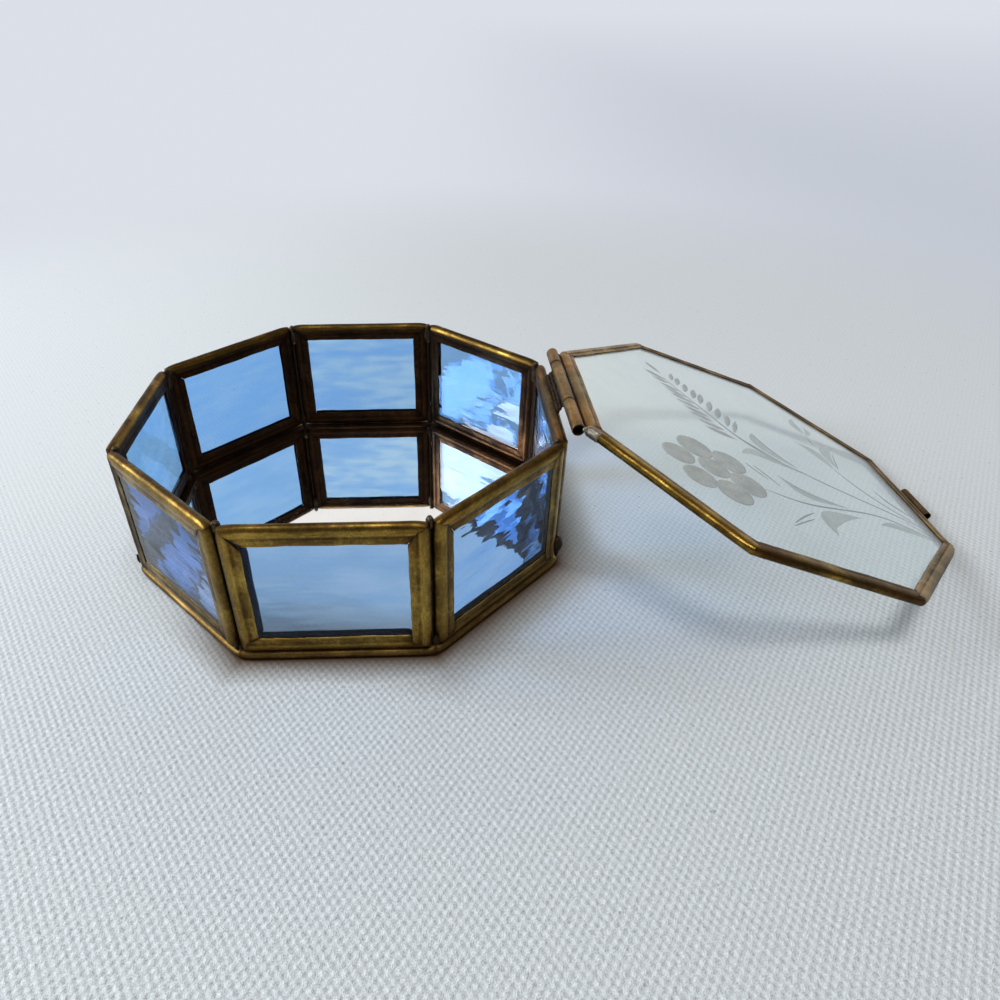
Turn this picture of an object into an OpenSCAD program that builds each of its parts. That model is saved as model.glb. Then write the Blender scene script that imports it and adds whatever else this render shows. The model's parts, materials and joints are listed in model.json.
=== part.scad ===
// Eight-sided glass casket: glass panels in folded brass channel strip, soldered at the corners,
// on a mirror base, with a cut-glass lid on a three-knuckle tube hinge.
// Millimetres. +Z is up and z = 0 is the table. The hinge side faces +X, with its axis along Y.
// The lid is drawn open, lying back with its far edge on the table.

/* [Box] */
// Width of the box across two opposite flat sides
across_flats = 114; // [90:1:150]
// Height of the rim above the table
box_h = 39; // [30:0.5:60]
// Gap between neighbouring side frames where their round edges come closest
corner_gap = 0.3; // [0.1:0.1:0.8]

/* [Side panels] */
// Thickness of the blue side glass
side_glass_t = 2.5; // [2:0.1:3.5]
// Width of the channel's flange on a side panel, from the outside of its web
side_face_w = 4.9; // [4:0.1:7]

/* [Base] */
// Thickness of the mirror
mirror_t = 1.6; // [1.2:0.1:3]
// Width of the channel's flange on the base
base_face_w = 4.8; // [4.6:0.1:8]

/* [Lid] */
// Thickness of the clear lid glass
lid_glass_t = 1.9; // [1.6:0.1:3]
// Width of the channel's flange on the lid
lid_face_w = 4; // [3:0.1:7]
// Clearance between the closed lid and the solder lumps that it comes down on
lid_clear = 0.3; // [0.2:0.05:1]

/* [Channel strip] */
// Thickness of the brass that the channel is rolled from
strip_t = 0.35; // [0.25:0.05:0.5]
// Clearance between the glass and each flange
glass_fit = 0.05; // [0.02:0.01:0.1]
// Width of the widest V-notch at its mouth, on the inner edge of the flange
notch_w = 1.2; // [0.3:0.1:1.5]
// Width of the slit where the strip's two ends meet
end_slit = 0.2; // [0.1:0.05:0.4]
// Seed for the uneven widths of the hand-cut notches
cut_seed = 7; // [1:1:99]

/* [Hinge] */
// Outer diameter of the knuckle tubes
knuckle_d = 3.3; // [2.6:0.1:4.5]
// Wall of the knuckle tubes
knuckle_wall = 0.45; // [0.3:0.05:0.6]
// Radial clearance of the pin in the knuckles
pin_fit = 0.05; // [0.02:0.01:0.1]
// Length of the box's knuckle, in the middle
box_knuckle_l = 22.8; // [12:0.2:24]
// Length of the lid's back knuckle
back_knuckle_l = 8.4; // [5:0.2:9]
// Length of the lid's front knuckle
front_knuckle_l = 14; // [8:0.2:15]
// Gap between the ends of two knuckles
knuckle_gap = 0.3; // [0.2:0.05:0.6]
// How far the pin's front end sits back inside the hollow knuckle
pin_recess = 3; // [1:0.5:6]
// Clearance between the knuckles and the plane of the wall's outer face
knuckle_out = 0.1; // [0:0.05:0.5]
// Clearance between the knuckles and the edge of the lid
lid_edge_gap = 0.3; // [0.3:0.05:0.6]
// How far the pin lies above the middle plane of the closed lid
pin_rise = 0.5; // [0:0.1:0.8]

/* [Lift tab] */
// Outer diameter of the tab's tube
tab_d = 2.5; // [2:0.1:3.5]
// Wall of the tab's tube
tab_wall = 0.35; // [0.25:0.05:0.5]
// Length of the tab
tab_l = 13; // [8:0.5:20]
// How far the tab's axis lies below the middle of the closed lid
tab_drop = 0.5; // [0:0.1:0.8]
// Gap between the tab and the lid's edge, filled by its solder
tab_gap = 0.1; // [0.05:0.05:0.3]

/* [Solder] */
// Radius of the lumps in the corners
lump_r = 1.6; // [1.4:0.05:1.9]
// How far the lumps lie inside the middle plane of the panels
lump_in = 1.1; // [0.7:0.05:1.3]
// Height of the top lumps above the rim
top_lump_rise = 0.5; // [0.2:0.05:0.8]
// Height of the bottom lumps above the base frame
bottom_lump_h = 5; // [3.5:0.5:8]
// Thickness of the skin of solder over the joint in the lid's strip, less than lid_edge_gap
joint_skin_t = 0.25; // [0.15:0.05:0.25]
// How far that skin spreads from the corner
joint_skin_r = 3.4; // [2.4:0.1:5]
// Radius of the drop that ran down the outside of the front hinge corner
drop_r = 2.6; // [2.2:0.1:3]
// How far that drop stands out from the corner
drop_out = 0.9; // [0.4:0.1:1.2]
// Height of the drop's middle above the table
drop_z = 7.5; // [6:0.5:12]

/* [Hidden] */
SIDES = ["right", "back_right", "back", "back_left", "left", "front_left", "front", "front_right"];

$fn = 48;
sides = 8;
half_turn = 180 / sides;
brass = [0.62, 0.49, 0.24];
solder = [0.62, 0.62, 0.60];
blue = [0.45, 0.62, 0.90, 0.55];
clear = [0.85, 0.92, 0.90, 0.35];
silver = [0.88, 0.90, 0.92];
// How far a cutting shape reaches past what it cuts
over = 1;
// Tightest notch, as a share of the widest
tight_notch = 0.2;
// How far a notch starts inside the fold, as a share of the channel's thickness
side_notch_root = 0.7;
octagon_notch_root = 0.6;
// Seat of the solder fillet beside a tube, as an angle either way from the line between the two
fillet_lean = 45;
// Where the strip of solder under the box knuckle meets the rim and the knuckle, as angles
// in the plane of X and Z
rim_low = 0;
rim_middle = 25;
rim_high = 50;
knuckle_high = 202;
knuckle_middle = 225;
knuckle_low = 248;

// A channel is as thick as its glass, two clearances and two flanges
function channel_t(glass_t) = glass_t + 2 * (glass_fit + strip_t);
side_t = channel_t(side_glass_t);
base_t = channel_t(mirror_t);
lid_t = channel_t(lid_glass_t);

apothem = across_flats / 2;
panel_h = box_h - base_t;
// Middle plane of the side panels, and where two of these planes meet at a corner
panel_mid = apothem - side_t / 2;
corner_r = panel_mid / cos(half_turn);
// The round edges of two panels come within corner_gap of each other
panel_w = 2 * (panel_mid * tan(half_turn) + side_t / 2 - (side_t + corner_gap) / 2 / cos(half_turn));

hinge_x = apothem + knuckle_out + knuckle_d / 2;
lid_apothem = hinge_x - knuckle_d / 2 - lid_edge_gap;
// Middle plane of the closed lid, and the pin's axis above it
lid_z = box_h + top_lump_rise + lid_clear + lid_t / 2;
pin_z = lid_z + pin_rise;
pin_r = knuckle_d / 2 - knuckle_wall - pin_fit;
hinge_l = back_knuckle_l + box_knuckle_l + front_knuckle_l + 2 * knuckle_gap;
hinge_back_y = hinge_l / 2;
hinge_front_y = -hinge_l / 2;
box_knuckle_y = hinge_back_y - back_knuckle_l - knuckle_gap - box_knuckle_l / 2;
back_knuckle_y = hinge_back_y - back_knuckle_l / 2;
front_knuckle_y = hinge_front_y + front_knuckle_l / 2;

// The open lid lies on the table with its tab or with its edge, whichever comes down first
tab_x = -lid_apothem - tab_gap - tab_d / 2;
tab_reach = hinge_x - tab_x;
edge_reach = hinge_x + lid_apothem - lid_t / 2;
// Tilt at which something of radius r, that far out from the pin and above it, touches the table
function tilt_to_table(reach, above, r) = atan(above / reach) + asin((pin_z - r) / norm([reach, above]));
tab_tilt = tilt_to_table(tab_reach, tab_drop + pin_rise, tab_d / 2);
edge_tilt = tilt_to_table(edge_reach, pin_rise, lid_t / 2);
lid_open = 180 + min(tab_tilt, edge_tilt);

// Point on a circle in the plane of X and Z
function on_circle(centre, r, a) = centre + r * [cos(a), sin(a)];

// Bar with the outline of a plate seen from its edge: flat faces and half-round ends
module round_ended_bar(w, t, l) {
    linear_extrude(l, center = true) {
        square([w - t, t], center = true);
        for (end = [-1, 1]) translate([end * (w - t) / 2, 0]) circle(d = t);
    }
}

// Rectangular plate in the plane of X and Z, with half-round edges that meet in mitres
module round_plate(w, h, t) {
    intersection() {
        round_ended_bar(w, t, h + over);
        rotate([0, 90, 0]) round_ended_bar(h, t, w + over);
    }
}

// Eight-sided plate in the plane of X and Y, with half-round edges that meet in mitres
module round_octagon(a, t) {
    intersection_for(i = [0:sides / 2 - 1])
        rotate([0, 0, i * 2 * half_turn]) rotate([90, 0, 0]) round_ended_bar(2 * a, t, 4 * a);
}

module octagon(a) {
    rotate(half_turn) circle(r = a / cos(half_turn), $fn = sides);
}

// V-notch through both flanges, from the root of the web out to its mouth, along +X
module notch(root, mouth, w, t) {
    linear_extrude(t + over, center = true)
        polygon([[root, 0], [mouth + over, -w / 2], [mouth + over, w / 2]]);
}

// Slit right through the channel, where the strip's two ends meet
module strip_joint(reach, t) {
    translate([-over, -end_slit / 2, -(t + over) / 2]) cube([reach + over, end_slit, t + over]);
}

// Channel strip folded round a rectangular glass, in the plane of X and Z, centred
module folded_frame(w, h, t, face_w, notches) {
    difference() {
        round_plate(w, h, t);
        round_plate(w - 2 * strip_t, h - 2 * strip_t, t - 2 * strip_t);
        cube([w - 2 * face_w, t + over, h - 2 * face_w], center = true);
        for (c = [0:3])
            mirror([c % 2, 0, 0]) mirror([0, 0, floor(c / 2)])
                translate([-w / 2, 0, h / 2]) rotate([90, 0, 0]) rotate([0, 0, -45]) {
                    notch(t * side_notch_root, face_w * sqrt(2), notches[c], t);
                    if (c == 2) strip_joint(face_w * sqrt(2), t);
                }
    }
}

// Channel strip folded round an eight-sided glass, in the plane of X and Y, centred
module folded_octagon(a, t, face_w, notches, joint) {
    difference() {
        round_octagon(a, t);
        round_octagon(a - strip_t, t - 2 * strip_t);
        linear_extrude(t + over, center = true) octagon(a - face_w);
        for (i = [0:sides - 1])
            rotate([0, 0, (2 * i + 1) * half_turn]) translate([a / cos(half_turn), 0, 0]) mirror([1, 0, 0]) {
                notch(t * octagon_notch_root, face_w / cos(half_turn), notches[i], t);
                if (i == joint) strip_joint(face_w / cos(half_turn), t);
            }
    }
}

function uneven_notches(n, seed) = [for (k = rands(tight_notch, 1, n, cut_seed + seed)) k * notch_w];

// Moves a shape drawn in the plane of X and Z to its place in side panel i
module to_side(i) {
    rotate([0, 0, i * 2 * half_turn]) translate([panel_mid, 0, base_t + panel_h / 2])
        rotate([0, 0, 90]) children();
}

// Outline of a whole side panel, for what is fitted round it
module side_outline(i) {
    to_side(i) round_plate(panel_w, panel_h, side_t);
}

module side_frame(i) {
    color(brass) to_side(i) folded_frame(panel_w, panel_h, side_t, side_face_w, uneven_notches(4, i));
}

// The glass reaches into the channel as far as the round web lets it
module side_glass(i) {
    color(blue) to_side(i) cube([panel_w - side_t, side_glass_t, panel_h - side_t], center = true);
}

module base_frame() {
    color(brass) translate([0, 0, base_t / 2])
        folded_octagon(apothem, base_t, base_face_w, uneven_notches(sides, sides), 3);
}

module base_mirror() {
    color(silver) translate([0, 0, base_t / 2])
        linear_extrude(mirror_t, center = true) octagon(apothem - base_t / 2);
}

// Places a lump at corner i and keeps it out of the two panels that it joins
module at_corner(i) {
    difference() {
        rotate([0, 0, (2 * i + 1) * half_turn]) children();
        side_outline(i);
        side_outline((i + 1) % sides);
    }
}

module solder_top() {
    color(solder) for (i = [0:sides - 1])
        at_corner(i) translate([corner_r - lump_in, 0, box_h + top_lump_rise - lump_r]) sphere(lump_r);
}

module solder_bottom() {
    color(solder) for (i = [0:sides - 1])
        at_corner(i) {
            translate([corner_r - lump_in, 0, base_t]) {
                cylinder(r = lump_r, h = bottom_lump_h - lump_r);
                translate([0, 0, bottom_lump_h - lump_r]) sphere(lump_r);
            }
            if (i == sides - 1) translate([apothem / cos(half_turn) + drop_out - drop_r, 0, drop_z])
                sphere(drop_r);
        }
}

// Tube along Y, in the place of the hinge or beside it
module tube(d, wall, l) {
    rotate([90, 0, 0]) difference() {
        cylinder(d = d, h = l, center = true);
        cylinder(d = d - 2 * wall, h = l + over, center = true);
    }
}

module knuckle(y, l) {
    color(brass) translate([hinge_x, y, pin_z]) tube(knuckle_d, knuckle_wall, l);
}

// Bar along Y whose section is drawn with X across and Z up
module bar_y(y, l) {
    translate([0, y, 0]) rotate([90, 0, 0]) linear_extrude(l, center = true) children();
}

module box_knuckle() knuckle(box_knuckle_y, box_knuckle_l);

// Strip of solder from the rim of the hinge side up to the box knuckle, clear of the lid's edge
module box_knuckle_solder() {
    web = [panel_mid, box_h - side_t / 2];
    web_r = side_t / 2;
    pin = [hinge_x, pin_z];
    knuckle_r = knuckle_d / 2;
    color(solder) bar_y(box_knuckle_y, box_knuckle_l - 2 * knuckle_gap) difference() {
        polygon([
            on_circle(web, web_r / 2, rim_middle),
            on_circle(web, web_r, rim_high),
            on_circle(pin, knuckle_r, knuckle_high),
            on_circle(pin, knuckle_r / 2, knuckle_middle),
            on_circle(pin, knuckle_r, knuckle_low),
            on_circle(web, web_r, rim_low)
        ]);
        translate(web) circle(web_r);
        translate(pin) circle(knuckle_r);
    }
}

// Wire through the three knuckles, flush at the back and set back at the hollow front end
module hinge_pin() {
    color(brass) translate([hinge_x, (hinge_back_y + hinge_front_y + pin_recess) / 2, pin_z])
        rotate([90, 0, 0]) cylinder(r = pin_r, h = hinge_l - pin_recess, center = true);
}

// The lid's pieces are drawn closed and turned open about the pin
module opened() {
    translate([hinge_x, 0, pin_z]) rotate([0, lid_open, 0]) translate([-hinge_x, 0, -pin_z]) children();
}

module lid_frame() {
    color(brass) opened() translate([0, 0, lid_z])
        folded_octagon(lid_apothem, lid_t, lid_face_w, uneven_notches(sides, 2 * sides), sides - 1);
}

module lid_glass() {
    color(clear) opened() translate([0, 0, lid_z])
        linear_extrude(lid_glass_t, center = true) octagon(lid_apothem - lid_t / 2);
}

module lid_knuckle_back() opened() knuckle(back_knuckle_y, back_knuckle_l);

module lid_knuckle_front() opened() knuckle(front_knuckle_y, front_knuckle_l);

module lift_tab() {
    color(brass) opened() translate([tab_x, 0, lid_z - tab_drop]) tube(tab_d, tab_wall, tab_l);
}

// Fillet between the lid's round edge and a tube beside it
module edge_fillet(tube_at, tube_r, side) {
    web = [side * (lid_apothem - lid_t / 2), lid_z];
    way = tube_at - web;
    towards_tube = atan2(way.y, way.x);
    towards_web = towards_tube + 180;
    difference() {
        polygon([
            on_circle(web, lid_t / 2, towards_tube + fillet_lean),
            on_circle(web, lid_t / 2, towards_tube - fillet_lean),
            on_circle(tube_at, tube_r, towards_web + fillet_lean),
            on_circle(tube_at, tube_r, towards_web - fillet_lean)
        ]);
        translate(web) circle(lid_t / 2);
        translate(tube_at) circle(tube_r);
    }
}

// Skin of solder on the top and the outside of the lid's strip, round its front hinge corner
module joint_skin() {
    difference() {
        intersection() {
            translate([0, 0, lid_z + joint_skin_t / 2])
                round_octagon(lid_apothem + joint_skin_t, lid_t + joint_skin_t);
            rotate([0, 0, -half_turn]) translate([lid_apothem / cos(half_turn), 0, lid_z])
                sphere(joint_skin_r);
        }
        translate([0, 0, lid_z]) round_octagon(lid_apothem, lid_t);
    }
}

module lid_solder() {
    color(solder) opened() {
        bar_y(back_knuckle_y, back_knuckle_l - 2 * knuckle_gap)
            edge_fillet([hinge_x, pin_z], knuckle_d / 2, 1);
        bar_y(front_knuckle_y, front_knuckle_l - 2 * knuckle_gap)
            edge_fillet([hinge_x, pin_z], knuckle_d / 2, 1);
        bar_y(0, tab_l - 2 * knuckle_gap)
            edge_fillet([tab_x, lid_z - tab_drop], tab_d / 2, -1);
        joint_skin();
    }
}

for (i = [0:sides - 1]) {
    side_glass(i);
    side_frame(i);
}
base_mirror();
base_frame();
solder_top();
solder_bottom();
box_knuckle();
box_knuckle_solder();
hinge_pin();
lid_glass();
lid_frame();
lid_knuckle_back();
lid_knuckle_front();
lid_solder();
lift_tab();
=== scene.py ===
import json
import math
import random
import bpy
import bmesh
from mathutils import Matrix, Vector, noise
from mathutils.geometry import tessellate_polygon


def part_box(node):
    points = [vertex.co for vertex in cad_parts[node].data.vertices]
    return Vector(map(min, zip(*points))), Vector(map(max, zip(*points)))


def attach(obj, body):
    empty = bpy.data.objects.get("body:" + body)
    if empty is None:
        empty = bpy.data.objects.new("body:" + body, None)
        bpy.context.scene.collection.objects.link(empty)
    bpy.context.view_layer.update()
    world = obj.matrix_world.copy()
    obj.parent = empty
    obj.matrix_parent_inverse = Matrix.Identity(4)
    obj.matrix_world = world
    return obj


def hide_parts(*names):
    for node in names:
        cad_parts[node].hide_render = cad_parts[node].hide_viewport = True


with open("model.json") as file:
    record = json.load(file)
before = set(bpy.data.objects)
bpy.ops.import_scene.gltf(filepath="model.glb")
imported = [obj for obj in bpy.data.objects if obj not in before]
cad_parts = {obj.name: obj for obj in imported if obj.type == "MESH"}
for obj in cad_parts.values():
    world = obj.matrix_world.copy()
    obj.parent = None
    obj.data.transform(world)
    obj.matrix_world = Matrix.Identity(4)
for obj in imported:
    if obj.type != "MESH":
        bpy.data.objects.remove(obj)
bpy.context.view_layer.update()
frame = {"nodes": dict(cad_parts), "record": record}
nodes = frame["nodes"]
mm = 0.001
print("frame loaded:", len(nodes), "nodes")

sideNames = ["right", "back_right", "back", "back_left", "left", "front_left", "front", "front_right"]

# camera, where the photographer stood: a little right of the middle, looking down on the box
camera = {
    "place": (23.55, -178.96, 129.55),  # mm
    "yaw": 0.0175, "pitch": 0.6316, "roll": -0.0095,  # radians
    "focal": 0.7360,  # focal length over the picture's width
    "axisX": 0.4454, "axisY": 0.5204,  # where the lens axis meets the picture, from its top left
    "sensor": 36,
}


def makeCamera(c):
    data = bpy.data.cameras.new("camera")
    data.sensor_width = c["sensor"]
    data.lens = c["sensor"] * c["focal"]
    data.shift_x = 0.5 - c["axisX"]
    data.shift_y = c["axisY"] - 0.5
    data.clip_start = 0.01
    data.clip_end = 50
    ahead = Vector((
        math.sin(c["yaw"]) * math.cos(c["pitch"]),
        math.cos(c["yaw"]) * math.cos(c["pitch"]),
        -math.sin(c["pitch"]),
    ))
    level = Vector((math.cos(c["yaw"]), -math.sin(c["yaw"]), 0))
    top = level.cross(ahead)
    right = level * math.cos(c["roll"]) + top * math.sin(c["roll"])
    up = right.cross(ahead)
    turn = Matrix((right, up, -ahead)).transposed()
    obj = bpy.data.objects.new("camera", data)
    obj.matrix_world = Matrix.Translation(Vector(c["place"]) * mm) @ turn.to_4x4()
    bpy.context.scene.collection.objects.link(obj)
    bpy.context.scene.camera = obj


makeCamera(camera)
bpy.context.scene.view_settings.view_transform = "Standard"
print("camera set")


# helpers for node trees
def node(tree, kind, **settings):
    made = tree.nodes.new(kind)
    for key, value in settings.items():
        setattr(made, key, value)
    return made


def feed(tree, target, **values):
    # sockets are named with _ for a space, or n and a number; a value is a number, a colour or an output socket
    for key, value in values.items():
        numbered = key[0] == "n" and key[1:].isdigit()
        socket = target.inputs[int(key[1:]) if numbered else key.replace("_", " ")]
        if isinstance(value, bpy.types.NodeSocket):
            tree.links.new(value, socket)
        else:
            socket.default_value = value
    return target


def calc(tree, operation, a, b=0.0, clamp=False):
    made = node(tree, "ShaderNodeMath", operation=operation, use_clamp=clamp)
    feed(tree, made, n0=a, n1=b)
    return made.outputs[0]


def plus(tree, a, b, clamp=False):
    return calc(tree, "ADD", a, b, clamp)


def minus(tree, a, b, clamp=False):
    return calc(tree, "SUBTRACT", a, b, clamp)


def times(tree, a, b, clamp=False):
    return calc(tree, "MULTIPLY", a, b, clamp)


def weighed(tree, first, *others):
    # sum of values, each given with its weight
    total = times(tree, *first)
    for value, weight in others:
        total = plus(tree, total, times(tree, value, weight))
    return total


def spread(tree, value, low, high, toLow=0.0, toHigh=1.0, smooth=True):
    made = node(tree, "ShaderNodeMapRange", interpolation_type="SMOOTHSTEP" if smooth else "LINEAR")
    feed(tree, made, Value=value, From_Min=low, From_Max=high, To_Min=toLow, To_Max=toHigh)
    return made.outputs[0]


def blendColour(tree, share, a, b, way="MIX"):
    made = node(tree, "ShaderNodeMix", data_type="RGBA", blend_type=way)
    feed(tree, made, n0=share, n6=a, n7=b)
    return made.outputs[2]


def cloud(tree, where, scale, detail=3.0, rough=0.55):
    made = node(tree, "ShaderNodeTexNoise")
    return feed(tree, made, Vector=where, Scale=scale, Detail=detail, Roughness=rough).outputs["Fac"]


def stretched(tree, where, scale):
    return feed(tree, node(tree, "ShaderNodeMapping"), Vector=where, Scale=scale).outputs[0]


def onObject(tree):
    return node(tree, "ShaderNodeTexCoord").outputs["Object"]


def axes(tree, vector):
    return feed(tree, node(tree, "ShaderNodeSeparateXYZ"), Vector=vector).outputs


def carried(tree, name, output="Fac"):
    # what the mesh carries in an attribute
    return node(tree, "ShaderNodeAttribute", attribute_name=name).outputs[output]


def bumped(tree, strength, distance, height, **under):
    made = node(tree, "ShaderNodeBump")
    return feed(tree, made, Strength=strength, Distance=distance, Height=height, **under).outputs[0]


def surfaceMix(tree, share, first, second):
    mixed = feed(tree, node(tree, "ShaderNodeMixShader"), n0=share, n1=first.outputs[0], n2=second.outputs[0])
    feed(tree, tree.nodes["Material Output"], Surface=mixed.outputs[0])


def newGroup(name, inputs, outputs):
    group = bpy.data.node_groups.new(name, "ShaderNodeTree")
    kinds = {"f": "NodeSocketFloat", "c": "NodeSocketColor", "v": "NodeSocketVector"}
    for label, kind, value in inputs:
        socket = group.interface.new_socket(label, in_out="INPUT", socket_type=kinds[kind])
        socket.default_value = value
    for label, kind in outputs:
        group.interface.new_socket(label, in_out="OUTPUT", socket_type=kinds[kind])
    return group, group.nodes.new("NodeGroupInput").outputs, group.nodes.new("NodeGroupOutput")


def place(tree, group, **values):
    made = node(tree, "ShaderNodeGroup", node_tree=group)
    return feed(tree, made, **values).outputs


def newMaterial(name):
    material = bpy.data.materials.new(name)
    material.use_nodes = True
    tree = material.node_tree
    return material, tree, tree.nodes["Principled BSDF"]


def paint(obj, material):
    if not obj.data.materials:
        obj.data.materials.append(material)
    for entry in obj.material_slots:
        entry.material = material


# shared effects: noise scales are per metre
metalGrain = {"broad": 110, "dents": 190, "heat": 260, "stains": 330, "middling": 700, "drawn": 1900, "fine": 3200}


def makeAgedMetal(g):
    # rolled strip: mottled tarnish, dark specks and stains, fine drawn lines, shallow dents
    group, given, out = newGroup("agedMetal", [
        ("Bright", "c", (0.5, 0.36, 0.13, 1)), ("Tarnish", "c", (0.2, 0.13, 0.05, 1)),
        ("Stain", "c", (0.05, 0.03, 0.015, 1)), ("Tarnish Share", "f", 0.5), ("Stain Share", "f", 0.3),
        ("Heat", "c", (0.33, 0.14, 0.028, 1)), ("Dull", "c", (0.13, 0.095, 0.062, 1)),
        ("Shine", "f", 0.25), ("Dents", "f", 0.5),
    ], [("Color", "c"), ("Roughness", "f"), ("Normal", "v")])
    where = onObject(group)
    broad = cloud(group, where, g["broad"], 3, 0.5)
    middling = cloud(group, where, g["middling"], 5, 0.65)
    fine = cloud(group, where, g["fine"], 3, 0.6)
    # what was drawn through the rolls has its stains run along it
    alongStrip = carried(group, "stripAt", "Vector")
    drawn = cloud(group, stretched(group, alongStrip, (0.12, 1, 1)), g["drawn"], 4, 0.6)
    mottle = weighed(group, (broad, 0.4), (middling, 0.35), (drawn, 0.25))
    edge = minus(group, 0.78, times(group, given["Tarnish Share"], 0.56))
    tarnished = spread(group, mottle, minus(group, edge, 0.09), plus(group, edge, 0.09))
    stainEdge = minus(group, 0.8, times(group, given["Stain Share"], 0.4))
    spots = weighed(group, (cloud(group, where, g["stains"], 6, 0.7), 0.7), (fine, 0.3))
    stained = spread(group, spots, stainEdge, plus(group, stainEdge, 0.14))
    colour = blendColour(group, tarnished, given["Bright"], given["Tarnish"])
    # orange where a joint was heated, greyish and dull where flux was left
    dulled = times(group, carried(group, "dulled"), spread(group, mottle, 0.3, 0.5, 0.55, 1.0))
    colour = blendColour(group, dulled, colour, given["Dull"])
    heatClouds = cloud(group, where, g["heat"], 3, 0.6)
    heated = times(group, carried(group, "heated"), spread(group, heatClouds, 0.36, 0.56, 0.2, 1.0))
    colour = blendColour(group, heated, colour, given["Heat"])
    colour = blendColour(group, times(group, stained, 0.85), colour, given["Stain"])
    # rubbed bright along lips and crests, the lips' thin bright line partly a painted highlight; darker in folds, on
    # crests and on faces in shade, partly dirt and partly painted shade and dark reflection
    # painted highlight: besides real rubbing, this mask brightens the lips' thin bright line beside the glass
    rubbedAndGlint = times(group, carried(group, "rubbedAndGlint"), spread(group, middling, 0.35, 0.6))
    colour = blendColour(group, times(group, rubbedAndGlint, 0.6), colour, given["Bright"])
    # painted shade and dark reflection: this mask darkens creases, faces in shade and crests as well as dirt
    dirtAndShade = times(group, carried(group, "dirtAndShade"), spread(group, broad, 0.25, 0.55, 0.45, 1.0))
    colour = blendColour(group, times(group, dirtAndShade, 0.8), colour, given["Stain"])
    lines = times(group, spread(group, drawn, 0.32, 0.68, 0.62, 1.28), spread(group, fine, 0.3, 0.7, 0.76, 1.2))
    colour = blendColour(group, 1.0, colour, lines, "MULTIPLY")
    # painted shade: the folds beside a blue pane are painted navy, for the blue shade that falls in them
    colour = blendColour(group, carried(group, "navyShade"), colour, (0.002, 0.006, 0.03, 1))
    rough = weighed(group, (given["Shine"], 1.0), (tarnished, 0.16), (dulled, 0.22), (dirtAndShade, 0.2),
                    (rubbedAndGlint, -0.08), (stained, 0.22))
    rough = plus(group, rough, times(group, minus(group, fine, 0.5), 0.12), True)
    relief = plus(group, cloud(group, where, g["dents"], 2, 0.5), times(group, drawn, 0.05))
    dents = bumped(group, given["Dents"], 0.0006, relief)
    pits = bumped(group, 0.35, 0.00006, fine, Normal=dents)
    feed(group, out, Color=colour, Roughness=rough, Normal=pits)
    return group


def makeBoxSides():
    # how far inside the box's walls a point lies, from 0 on the outer face to 1 on the inner one
    group, given, out = newGroup("boxSides", [
        ("Outer", "f", 0.057), ("Inner", "f", 0.0537),
    ], [("Inside", "f"), ("Height", "f")])
    x, y, z = axes(group, onObject(group))
    x, y = calc(group, "ABSOLUTE", x), calc(group, "ABSOLUTE", y)
    slant = times(group, plus(group, x, y), math.sqrt(0.5))
    reach = calc(group, "MAXIMUM", calc(group, "MAXIMUM", x, y), slant)
    inside = spread(group, reach, given["Outer"], given["Inner"], smooth=False)
    feed(group, out, Inside=inside, Height=z)
    return group


def makeWavyGlass():
    # drawn sheet glass: long shallow waves, fine ragged streaks along the draw, and a thin uneven film
    group, given, out = newGroup("wavyGlass", [
        ("Wave", "f", 60.0), ("Depth", "f", 0.5), ("Streak", "f", 0.3), ("Film", "f", 0.3), ("Grime", "f", 0.0),
        ("Shift", "v", (0, 0, 0)),
        ("Clear", "c", (0.25, 0.5, 0.9, 1)), ("Filmed", "c", (0.4, 0.6, 0.85, 1)),
    ], [("Normal", "v"), ("Color", "c")])
    where = onObject(group)
    moved = feed(group, node(group, "ShaderNodeMapping"), Vector=where, Location=given["Shift"]).outputs[0]
    waves = cloud(group, stretched(group, moved, (0.8, 0.8, 1.2)), given["Wave"], 2, 0.45)
    streaks = cloud(group, stretched(group, moved, (0.16, 0.16, 1)), 480, 2, 0.4)
    bump = bumped(group, given["Depth"], 0.001, waves)
    fine = bumped(group, given["Streak"], 0.0002, streaks, Normal=bump)
    smears = cloud(group, stretched(group, moved, (0.3, 0.3, 1)), 130, 4, 0.6)
    film = spread(group, weighed(group, (smears, 0.6), (streaks, 0.4)), 0.42, 0.6)
    colour = blendColour(group, times(group, film, given["Film"]), given["Clear"], given["Filmed"])
    # painted reflection: a brown tint along the foot of the pane
    height = axes(group, where)[2]
    low = times(group, spread(group, height, 0.004, 0.019, 1.0, 0.0), given["Grime"])
    footReflected = blendColour(group, 1.0, colour, (0.62, 0.52, 0.45, 1), "MULTIPLY")
    feed(group, out, Normal=fine, Color=blendColour(group, low, colour, footReflected))
    return group


agedMetal = makeAgedMetal(metalGrain)
boxSides = makeBoxSides()
wavyGlass = makeWavyGlass()

# brass
outerBrass = {
    "Bright": (0.46, 0.3, 0.058, 1), "Tarnish": (0.14, 0.08, 0.015, 1), "Stain": (0.028, 0.012, 0.004, 1),
    "Tarnish_Share": 0.55, "Stain_Share": 0.5, "Shine": 0.17, "Dents": 0.3,
}
innerBrass = {
    "Bright": (0.12, 0.056, 0.021, 1), "Tarnish": (0.032, 0.013, 0.006, 1), "Stain": (0.01, 0.004, 0.003, 1),
    "Tarnish_Share": 0.55, "Stain_Share": 0.4, "Shine": 0.3, "Dents": 0.35,
}
tubeBrass = {
    "Bright": (0.38, 0.25, 0.07, 1), "Tarnish": (0.15, 0.092, 0.028, 1), "Stain": (0.04, 0.02, 0.009, 1),
    "Heat": (0.36, 0.17, 0.045, 1), "Dull": (0.2, 0.15, 0.09, 1),
    "Tarnish_Share": 0.6, "Stain_Share": 0.5, "Shine": 0.26, "Dents": 0.2,
}

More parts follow.
